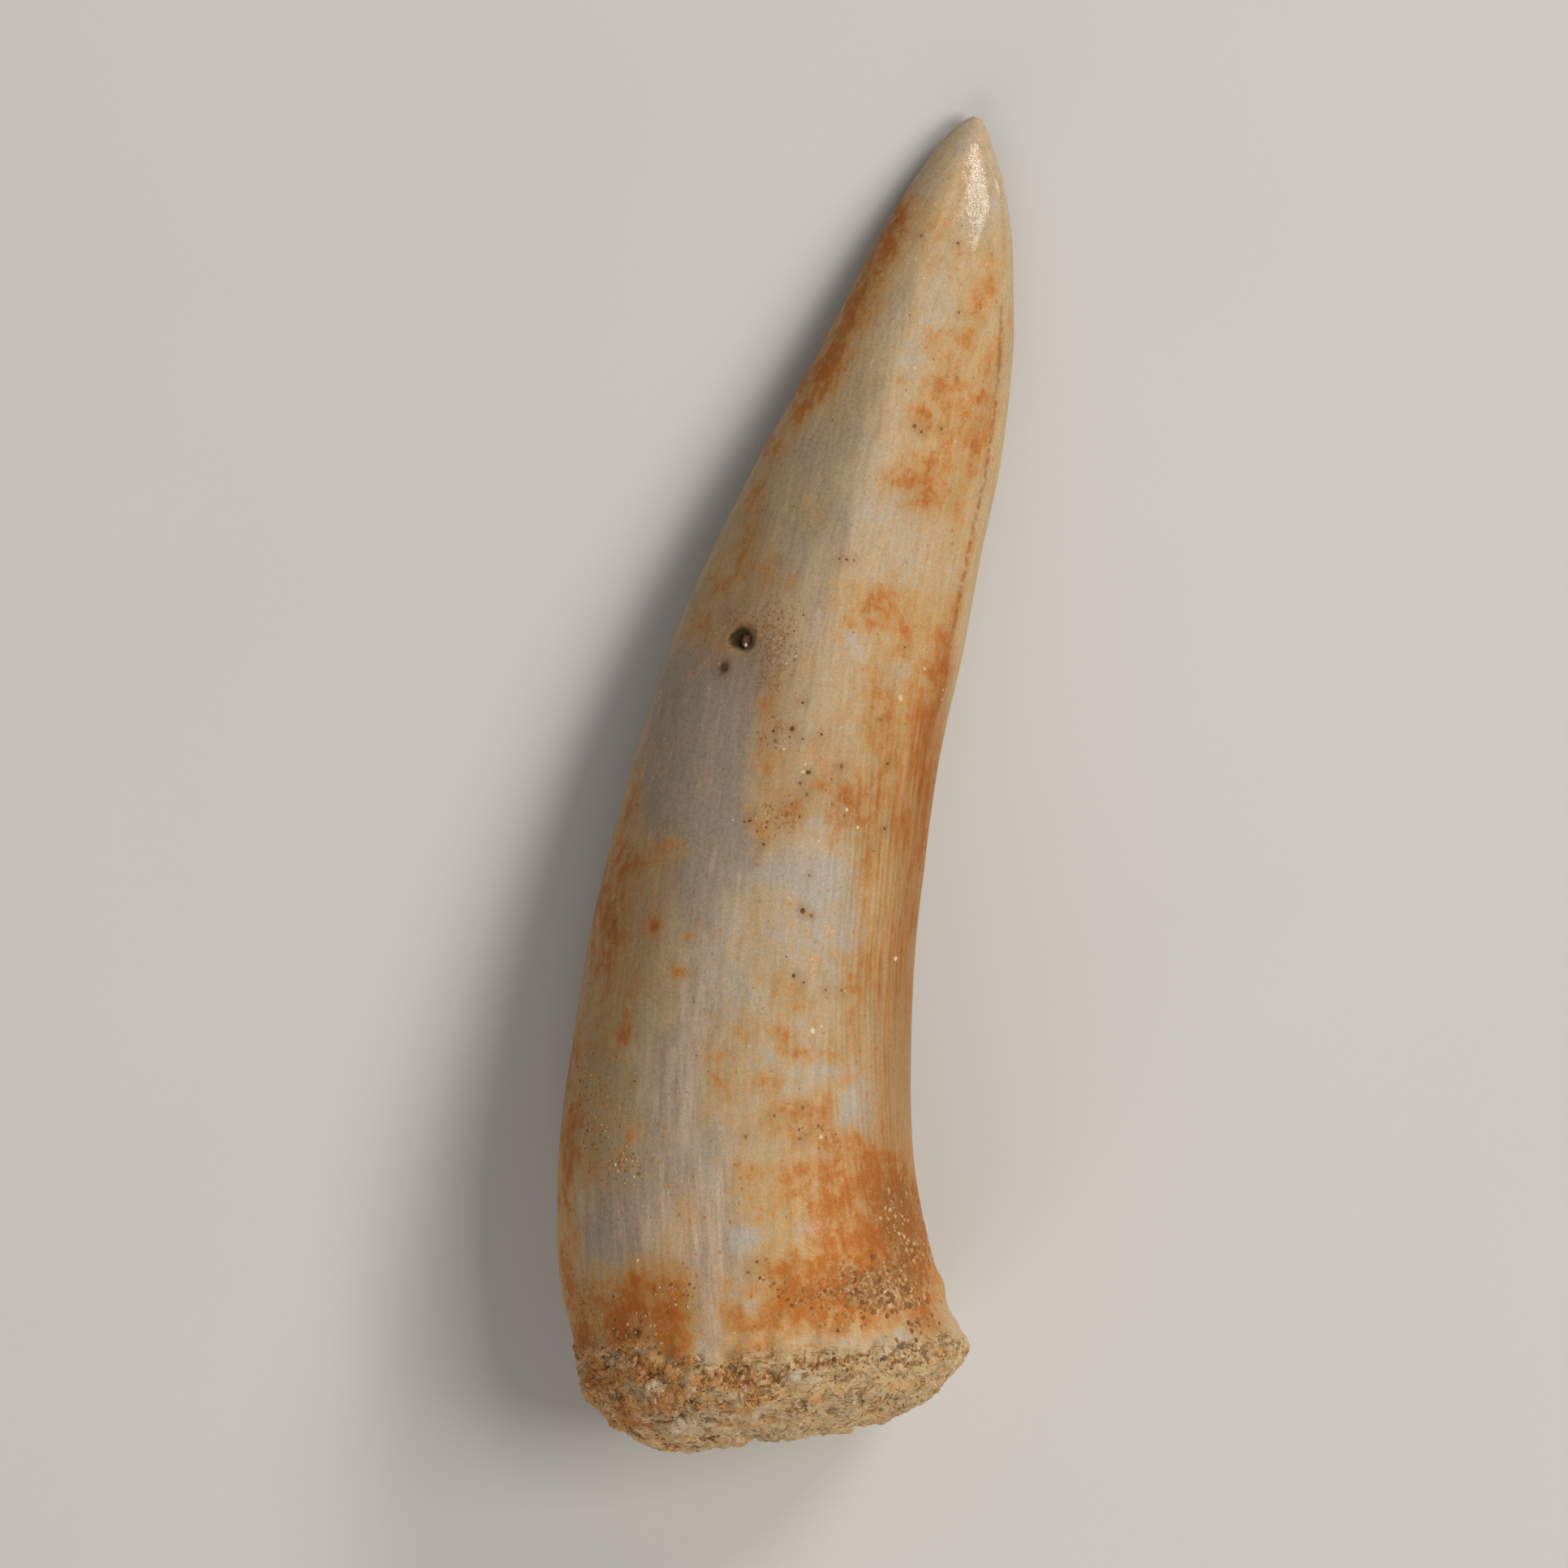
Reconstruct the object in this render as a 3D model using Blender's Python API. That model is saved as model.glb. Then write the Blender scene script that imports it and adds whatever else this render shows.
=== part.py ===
"""A fossil enchodus fang, lying on its flatter side.

One solid: a curved, tapering tooth with a sharp keel down its right edge, a soft ridge down the upper face,
fine flutes low on the right flank, and the rough, flared bone of attachment at its base.

The tooth's spine is a circular arc. Oval sections stand square to that arc, and the loft through them is the
tooth. Lengths are in millimetres until the mesh is made. +Y runs from the base to the tip, +Z is up, and the
fang rests on z = 0.
"""

import math

import bmesh
import bpy
from mathutils import Vector, noise

MM = 0.001

# The spine: an arc that bulges to the left (-X), from the base's end face to the tip.
SPINE_RADIUS = 72.4
SPINE_HALF_ANGLE = math.radians(16.5)
SPINE_LENGTH = 2 * SPINE_HALF_ANGLE * SPINE_RADIUS
ARC_CENTRE_X = 70.85
ARC_CENTRE_Y = 0.42

# Sections along the spine. Distances in mm from the base's end: along, then how far the outline lies to the
# left and to the right of the spine, where the ridge lies (right is positive), how high the ridge stands
# above the keel, how deep the underside lies below the keel, and how far the underside is from the ground.
# A rise below zero is worn flat where the fang rests.
STATIONS = (
    # along, left, right, ridge, top, under, rise
    (0.0, 5.9, 5.9, -0.1, 4.7, 4.5, 0.15),
    (2.3, 5.8, 5.95, -0.2, 4.8, 4.6, -0.12),
    (3.4, 5.95, 5.58, -0.3, 4.75, 4.5, -0.12),
    (5.0, 6.24, 5.25, -0.4, 4.8, 4.3, -0.10),
    (8.3, 6.2, 4.8, -0.5, 4.8, 4.0, -0.12),
    (11.7, 5.75, 4.7, -0.4, 4.6, 3.7, -0.14),
    (15.0, 5.35, 4.65, -0.2, 4.35, 3.4, -0.16),
    (18.3, 4.85, 4.7, 0.1, 4.1, 3.1, -0.14),
    (21.7, 4.35, 4.72, 0.3, 3.8, 2.8, -0.12),
    (25.0, 3.77, 4.85, 0.5, 3.45, 2.5, -0.10),
    (28.3, 3.05, 4.73, 0.6, 3.05, 2.2, -0.10),
    (31.7, 2.22, 4.5, 0.6, 2.6, 1.85, -0.12),
    (35.0, 1.62, 3.83, 0.4, 2.1, 1.5, -0.14),
    (37.5, 1.3, 2.97, 0.2, 1.65, 1.1, -0.06),
    (39.2, 1.04, 2.2, 0.15, 1.2, 0.8, 0.05),
    (40.4, 0.78, 1.38, 0.1, 0.8, 0.55, 0.2),
    (41.3, 0.45, 0.6, 0.05, 0.42, 0.32, 0.4),
    (41.7, 0.16, 0.16, 0.0, 0.15, 0.12, 0.58),
)
ALONG, LEFT, RIGHT, RIDGE, TOP, UNDER, RISE = range(7)

# How full each quarter of a section is: 2 is an ellipse, less is flatter with a sharper crest and edge. The
# upper part of the crown has a near-flat facet between the ridge and the keel.
SHAFT_FULLNESS = {"upper_right": 2.0, "upper_left": 2.05, "under_left": 2.2, "under_right": 2.1}
CROWN_FULLNESS = {"upper_right": 1.45, "upper_left": 1.75, "under_left": 2.05, "under_right": 1.5}
CROWN_FROM, CROWN_FULL = 16.0, 29.0

# The bone of attachment: rounded at its end, with a shallow dished end face whose upper rim reaches out
# further than its lower one.
BASE_EDGE = 2.2
BASE_EDGE_FULLNESS = 1.6
END_FACE_SCALE = 0.5
DISH_DEPTH = 0.7
END_LEAN = 0.06
END_LEAN_UNTIL = 5.0
ROUGH_HEIGHT = 0.17
ROUGH_GRAIN = 0.9
ROUGH_UNTIL, ROUGH_FADED = 2.9, 4.0
# Lumps and notches on the base: along, angle in degrees round the section, radius, height.
BASE_LUMPS = (
    (0.1, 152, 0.7, 0.25),
    (0.1, 105, 0.6, -0.3),
    (0.4, 172, 0.7, 0.13),
    (0.35, 5, 0.7, 0.13),
    (2.1, 8, 0.8, 0.1),
    (2.4, 178, 0.7, 0.12),
    (4.3, 4, 0.5, 0.16),
    (3.0, 182, 0.5, -0.08),
    (1.2, 60, 0.8, 0.16),
    (1.0, 200, 0.9, -0.15),
    (1.5, 330, 1.0, 0.2),
)

# The keel: a thin blade along the right edge of the crown, set off by a groove on both sides.
KEEL_FROM, KEEL_FULL, KEEL_UNTIL = 20.6, 23.0, 40.6
KEEL_WIDTH = 0.42
KEEL_GROOVE_WIDTH = 0.2
KEEL_GROOVE_DEPTH = 0.09

# The flutes: fine grooves along the lower right flank.
FLUTE_FIRST, FLUTE_LAST = -20, 50
FLUTE_STEP = 5
FLUTE_DEPTH = 0.05
FLUTES_FROM, FLUTES_FULL, FLUTES_FADE, FLUTES_UNTIL = 5.5, 8.5, 20.0, 24.5

# The round pit left of the ridge.
PIT_ALONG, PIT_ACROSS = 25.0, -1.95
PIT_RADIUS = 0.4
PIT_DEPTH = 0.32

# The mesh: how many steps the loft takes along each stretch, and round the section away from the flutes.
ROUND_STEP = 6.4
END_FACE_RINGS = 4
EDGE_RINGS = 6
SHAFT_RINGS = 34
TIP_RINGS = 9
TIP_FROM = 37.0


def ramp(value, start, end):
    """0 at start, 1 at end, smooth between them; start may be the larger."""
    share = min(1.0, max(0.0, (value - start) / (end - start)))
    return share * share * (3 - 2 * share)


def section_at(along):
    """The station values at a distance along the spine, on a smooth curve through the stations."""
    last = len(STATIONS) - 1
    place = next((i for i in range(last - 1) if along < STATIONS[i + 1][ALONG]), last - 1)
    near, far = STATIONS[place], STATIONS[place + 1]
    before, after = STATIONS[max(place - 1, 0)], STATIONS[min(place + 2, last)]
    span = far[ALONG] - near[ALONG]
    t = (along - near[ALONG]) / span
    values = []
    for column in range(len(near)):
        slope_in = (far[column] - before[column]) / (far[ALONG] - before[ALONG]) * span
        slope_out = (after[column] - near[column]) / (after[ALONG] - near[ALONG]) * span
        values.append(
            (2 * t**3 - 3 * t**2 + 1) * near[column]
            + (t**3 - 2 * t**2 + t) * slope_in
            + (3 * t**2 - 2 * t**3) * far[column]
            + (t**3 - t**2) * slope_out
        )
    return values


def fullness(quarter, along):
    share = ramp(along, CROWN_FROM, CROWN_FULL)
    return SHAFT_FULLNESS[quarter] * (1 - share) + CROWN_FULLNESS[quarter] * share


def rounded(value, full):
    """A superellipse's version of a sine or a cosine."""
    return math.copysign(abs(value) ** (2 / full), value)


def outline_point(along, angle):
    """(across, height above the keel) of the plain section, 0 degrees at the keel and 90 at the ridge."""
    section = section_at(along)
    cos, sin = math.cos(math.radians(angle)), math.sin(math.radians(angle))
    side = "right" if cos >= 0 else "left"
    level = "upper" if sin >= 0 else "under"
    full = fullness(f"{level}_{side}", along)
    reach = section[RIGHT] - section[RIDGE] if cos >= 0 else section[LEFT] + section[RIDGE]
    across = section[RIDGE] + reach * rounded(cos, full)
    height = rounded(sin, full) * (section[TOP] if sin >= 0 else section[UNDER])
    return across, height


def section_middle(along):
    section = section_at(along)
    return (section[RIGHT] - section[LEFT]) / 2, (section[TOP] - section[UNDER]) / 2


def keel_groove(along, across):
    """How far the groove beside the keel lowers the face, in mm."""
    strength = ramp(along, KEEL_FROM, KEEL_FULL) * ramp(along, KEEL_UNTIL, KEEL_UNTIL - 1)
    inset = section_at(along)[RIGHT] - across
    return strength * KEEL_GROOVE_DEPTH * math.exp(-(((inset - KEEL_WIDTH) / KEEL_GROOVE_WIDTH) ** 2))


def flute_depth(along, angle):
    """Flutes are a zigzag: every other angle of the flank is the bottom of one."""
    if not FLUTE_FIRST <= angle <= FLUTE_LAST:
        return 0.0
    strength = ramp(along, FLUTES_FROM, FLUTES_FULL) * ramp(along, FLUTES_UNTIL, FLUTES_FADE)
    edge = ramp(angle, FLUTE_FIRST, FLUTE_FIRST + 10) * ramp(angle, FLUTE_LAST, FLUTE_LAST - 15)
    turn = (angle - FLUTE_FIRST) / FLUTE_STEP
    return strength * edge * FLUTE_DEPTH * (1 - math.cos(2 * math.pi * turn)) / 2


def base_relief(along, angle, place):
    """How far the rough bone stands out at a place on the base."""
    rough = ramp(along, ROUGH_FADED, ROUGH_UNTIL)
    relief = rough * ROUGH_HEIGHT * noise.fractal(place / ROUGH_GRAIN, 0.8, 2.2, 2)
    for lump_along, lump_angle, radius, height in BASE_LUMPS:
        across, level = outline_point(lump_along, lump_angle)
        own_across, own_level = outline_point(along, angle)
        distance = Vector((along - lump_along, own_across - across, own_level - level)).length
        relief += height * math.exp(-((distance / radius) ** 2))
    return relief


def bent(along, across, height):
    """A point of the straight tooth, bent round the spine's arc."""
    heading = along / SPINE_RADIUS - SPINE_HALF_ANGLE
    radius = SPINE_RADIUS - across
    return Vector(
        (
            ARC_CENTRE_X - radius * math.cos(heading),
            ARC_CENTRE_Y + radius * math.sin(heading),
            height,
        )
    )


def surface_point(along, angle, scale=1.0, sink=0.0):
    """A point of the fang. scale shrinks the section, and sink moves the point into the base's end face."""
    across, height = outline_point(along, angle)
    middle_across, middle_height = section_middle(along)
    out = Vector((across - middle_across, 0, height - middle_height)).normalized()
    groove = keel_groove(along, across)
    height -= math.copysign(min(groove, abs(height)), height)
    relief = -flute_depth(along, angle)
    if along < ROUGH_FADED + 2:
        relief += base_relief(along, angle, Vector((across * scale, along + sink, height * scale)))
    across = middle_across + (across - middle_across) * scale + out.x * relief
    height = middle_height + (height - middle_height) * scale + out.z * relief
    section = section_at(along)
    ground = section[UNDER] + section[RISE]
    lean = END_LEAN * (height - section[TOP] / 2) * ramp(along, END_LEAN_UNTIL, 0)
    point = bent(along + sink - lean - relief * (1 - scale), across, height + ground)
    point.z = max(point.z, 0.0)
    return point * MM


def round_angles():
    """Angles round the section: close together on the fluted flank, and even over the rest."""
    half_step = FLUTE_STEP / 2
    flank_count = int((FLUTE_LAST - FLUTE_FIRST) / half_step)
    flank = [FLUTE_FIRST + half_step * i for i in range(flank_count)]
    rest = 360 - (FLUTE_LAST - FLUTE_FIRST)
    rest_count = round(rest / ROUND_STEP)
    return flank + [FLUTE_LAST + rest * i / rest_count for i in range(rest_count)]


def ring_places():
    """(along, scale, sink) of each ring, from the middle of the end face over its edge to the tip."""
    rings = []
    for i in range(1, END_FACE_RINGS + 1):
        share = i / END_FACE_RINGS
        rings.append((0.0, END_FACE_SCALE * share, DISH_DEPTH * (1 - share**2)))
    for i in range(1, EDGE_RINGS):
        turn = math.pi / 2 * i / EDGE_RINGS
        along = BASE_EDGE * (1 - rounded(math.cos(turn), BASE_EDGE_FULLNESS))
        widening = rounded(math.sin(turn), BASE_EDGE_FULLNESS)
        rings.append((along, END_FACE_SCALE + (1 - END_FACE_SCALE) * widening, 0.0))
    for i in range(SHAFT_RINGS):
        share = (i / SHAFT_RINGS) ** 1.25
        rings.append((BASE_EDGE + (TIP_FROM - BASE_EDGE) * share, 1.0, 0.0))
    for i in range(TIP_RINGS + 1):
        share = 1 - (1 - i / TIP_RINGS) ** 1.5
        rings.append((TIP_FROM + (SPINE_LENGTH - TIP_FROM) * share, 1.0, 0.0))
    return rings


def loft_fang():
    """The fang's mesh: rings of points joined by quads, closed by a fan at each end."""
    mesh = bpy.data.meshes.new("fang")
    bm = bmesh.new()
    angles = round_angles()
    rings = [
        [bm.verts.new(surface_point(along, angle, scale, sink)) for angle in angles]
        for along, scale, sink in ring_places()
    ]
    count = len(angles)
    for lower, upper in zip(rings, rings[1:]):
        for i in range(count):
            j = (i + 1) % count
            bm.faces.new((lower[i], upper[i], upper[j], lower[j]))
    for ring in (rings[0], rings[-1]):
        middle = bm.verts.new(sum((v.co for v in ring), Vector()) / count)
        for i in range(count):
            bm.faces.new((ring[i], ring[(i + 1) % count], middle))
    bmesh.ops.recalc_face_normals(bm, faces=bm.faces)
    bm.to_mesh(mesh)
    bm.free()
    return mesh


def fossil_material():
    """Mineral-stained ivory: cream enameloid with tan iron stain, slightly glossy."""
    material = bpy.data.materials.new("stained_enameloid")
    material.use_nodes = True
    shader = material.node_tree.nodes["Principled BSDF"]
    shader.inputs["Base Color"].default_value = (0.56, 0.38, 0.21, 1)
    shader.inputs["Roughness"].default_value = 0.42
    shader.inputs["Metallic"].default_value = 0.0
    return material


def pit_cutter(collection):
    """A ball that leaves the round pit in the upper left face."""
    section = section_at(PIT_ALONG)
    reach = (PIT_ACROSS - section[RIDGE]) / (section[LEFT] + section[RIDGE])
    full = fullness("upper_left", PIT_ALONG)
    level = section[TOP] * (1 - abs(reach) ** full) ** (1 / full)
    centre = bent(PIT_ALONG, PIT_ACROSS, level + section[UNDER] + section[RISE] + PIT_RADIUS - PIT_DEPTH)
    bpy.ops.mesh.primitive_ico_sphere_add(subdivisions=3, radius=PIT_RADIUS * MM, location=centre * MM)
    cutter = bpy.context.active_object
    cutter.name = "pit_cutter"
    cutter.hide_render = True
    cutter.display_type = "WIRE"
    for owner in cutter.users_collection:
        owner.objects.unlink(cutter)
    collection.objects.link(cutter)
    return cutter


def new_collection(name):
    collection = bpy.data.collections.new(name)
    bpy.context.scene.collection.children.link(collection)
    return collection


def main():
    for obj in list(bpy.data.objects):
        bpy.data.objects.remove(obj)
    parts = new_collection("enchodus_fang")
    cutters = new_collection("cutters")

    fang = bpy.data.objects.new("fang", loft_fang())
    parts.objects.link(fang)
    fang.data.shade_smooth()
    fang.data.set_sharp_from_angle(angle=math.radians(40))
    fang.data.materials.append(fossil_material())

    pit = fang.modifiers.new("pit", "BOOLEAN")
    pit.operation = "DIFFERENCE"
    pit.object = pit_cutter(cutters)


main()
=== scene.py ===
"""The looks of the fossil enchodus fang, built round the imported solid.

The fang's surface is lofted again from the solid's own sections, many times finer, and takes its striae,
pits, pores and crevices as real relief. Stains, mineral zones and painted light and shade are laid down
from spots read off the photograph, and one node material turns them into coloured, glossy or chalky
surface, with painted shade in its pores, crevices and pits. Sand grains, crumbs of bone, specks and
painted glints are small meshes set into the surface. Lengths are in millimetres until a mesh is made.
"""

import math
import random

import bmesh
import bpy
import numpy as np
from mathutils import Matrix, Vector, noise
from mathutils.bvhtree import BVHTree


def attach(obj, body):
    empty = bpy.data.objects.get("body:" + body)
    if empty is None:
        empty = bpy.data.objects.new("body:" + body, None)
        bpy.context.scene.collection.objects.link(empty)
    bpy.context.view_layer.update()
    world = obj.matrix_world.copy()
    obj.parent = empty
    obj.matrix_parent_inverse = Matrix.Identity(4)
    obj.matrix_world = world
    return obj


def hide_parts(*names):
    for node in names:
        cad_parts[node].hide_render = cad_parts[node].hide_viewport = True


MM = 0.001
SLOT = "stained_enameloid"
# The fields that the surface works out at each vertex and its material reads.
FIELDS = (
    "iron", "lilac", "pale", "violet_highlight", "warm", "olive", "deep", "polish",
    "soil_and_shadow", "halo", "flank", "bone", "hollow_shade", "stria", "keel", "keel_line",
)

# The solid's driving dimensions, as its source has them.
SPINE_RADIUS = 72.4
SPINE_HALF_ANGLE = math.radians(16.5)
SPINE_LENGTH = 2 * SPINE_HALF_ANGLE * SPINE_RADIUS
ARC_CENTRE_X = 70.85
ARC_CENTRE_Y = 0.42
STATIONS = (
    # along, left, right, ridge, top, under, rise
    (0.0, 5.9, 5.9, -0.1, 4.7, 4.5, 0.15),
    (2.3, 5.8, 5.95, -0.2, 4.8, 4.6, -0.12),
    (3.4, 5.95, 5.58, -0.3, 4.75, 4.5, -0.12),
    (5.0, 6.24, 5.25, -0.4, 4.8, 4.3, -0.10),
    (8.3, 6.2, 4.8, -0.5, 4.8, 4.0, -0.12),
    (11.7, 5.75, 4.7, -0.4, 4.6, 3.7, -0.14),
    (15.0, 5.35, 4.65, -0.2, 4.35, 3.4, -0.16),
    (18.3, 4.85, 4.7, 0.1, 4.1, 3.1, -0.14),
    (21.7, 4.35, 4.72, 0.3, 3.8, 2.8, -0.12),
    (25.0, 3.77, 4.85, 0.5, 3.45, 2.5, -0.10),
    (28.3, 3.05, 4.73, 0.6, 3.05, 2.2, -0.10),
    (31.7, 2.22, 4.5, 0.6, 2.6, 1.85, -0.12),
    (35.0, 1.62, 3.83, 0.4, 2.1, 1.5, -0.14),
    (37.5, 1.3, 2.97, 0.2, 1.65, 1.1, -0.06),
    (39.2, 1.04, 2.2, 0.15, 1.2, 0.8, 0.05),
    (40.4, 0.78, 1.38, 0.1, 0.8, 0.55, 0.2),
    (41.3, 0.45, 0.6, 0.05, 0.42, 0.32, 0.4),
    (41.7, 0.16, 0.16, 0.0, 0.15, 0.12, 0.58),
)
ALONG, LEFT, RIGHT, RIDGE, TOP, UNDER, RISE = range(7)
SHAFT_FULLNESS = {"upper_right": 2.0, "upper_left": 2.05, "under_left": 2.2, "under_right": 2.1}
CROWN_FULLNESS = {"upper_right": 1.45, "upper_left": 1.75, "under_left": 2.05, "under_right": 1.5}
CROWN_FROM, CROWN_FULL = 16.0, 29.0
TIP_FULLNESS = 1.95
TIP_ROUND_FROM, TIP_ROUND_FULL = 32.0, 38.0
BASE_EDGE = 2.2
BASE_EDGE_FULLNESS = 1.6
END_FACE_SCALE = 0.5
DISH_DEPTH = 0.7
END_LEAN = 0.06
END_LEAN_UNTIL = 5.0
ROUGH_HEIGHT = 0.17
ROUGH_GRAIN = 0.9
ROUGH_UNTIL, ROUGH_FADED = 2.9, 4.0
BASE_LUMPS = (
    # along, angle in degrees round the section, radius, height
    (0.1, 152, 0.7, 0.25),
    (0.1, 105, 0.6, -0.3),
    (0.4, 172, 0.7, 0.13),
    (0.35, 5, 0.7, 0.13),
    (2.1, 8, 0.8, 0.1),
    (2.4, 178, 0.7, 0.12),
    (4.3, 4, 0.5, 0.16),
    (3.0, 182, 0.5, -0.08),
    (1.2, 60, 0.8, 0.16),
    (1.0, 200, 0.9, -0.15),
    (1.5, 330, 1.0, 0.2),
)
KEEL_FROM, KEEL_FULL, KEEL_UNTIL = 20.6, 23.0, 40.6
KEEL_WIDTH = 0.42
KEEL_GROOVE_WIDTH = 0.16
KEEL_GROOVE_DEPTH = 0.1
KEEL_LINE_WIDTH = 0.07
KEEL_LINE_FADES, KEEL_LINE_UNTIL = 35.8, 37.2

# The mesh: rings along the fang and columns round it, closer together where the relief is finest.
RINGS = 330
END_FACE_RINGS = 26
EDGE_RINGS = 24
COLUMNS = 256
FIRST_ANGLE = -100

# Relief of the enameloid, in mm.
STRIA_PITCH = 0.23
STRIA_DEPTH = 0.045
FAINT_STRIA = 0.22
UNEVEN_HEIGHT, UNEVEN_GRAIN = 0.06, 4.2
RIPPLE_HEIGHT, RIPPLE_GRAIN = 0.012, 0.9
GRIT_HEIGHT, GRIT_GRAIN = 0.03, 0.22

# Relief of the bone of attachment, in mm, and its wavy upper border, in mm from the end.
BONE_BORDER = 2.35
BONE_BORDER_WAVE, BONE_BORDER_GRAIN = 0.22, 0.6
BONE_LUMP_HEIGHT, BONE_LUMP_GRAIN = 0.1, 0.45
BONE_FIBRE_HEIGHT, BONE_FIBRE_GRAIN = 0.05, 0.2
BONE_PORE_DEPTH, BONE_PORE_GRAIN = 0.12, 0.34
BONE_RISE = 0.05
BONE_CREVICE = 0.03
BONE_CRACK_DEPTH, BONE_CRACK_GRAIN = 0.07, 0.55
# Painted shade in the bone is darkest where its relief sinks this far.
BONE_DARK_DEPTH = 0.16

# The photograph: its frame, the pixels of the spine's lower end, and its scale.
PHOTO_SIDE = 1932
PIXELS_PER_MM = 40.0
SPINE_FOOT_PIXEL = (962.0, 1768.0)
PHOTO_LEAN = math.radians(8.534)
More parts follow.
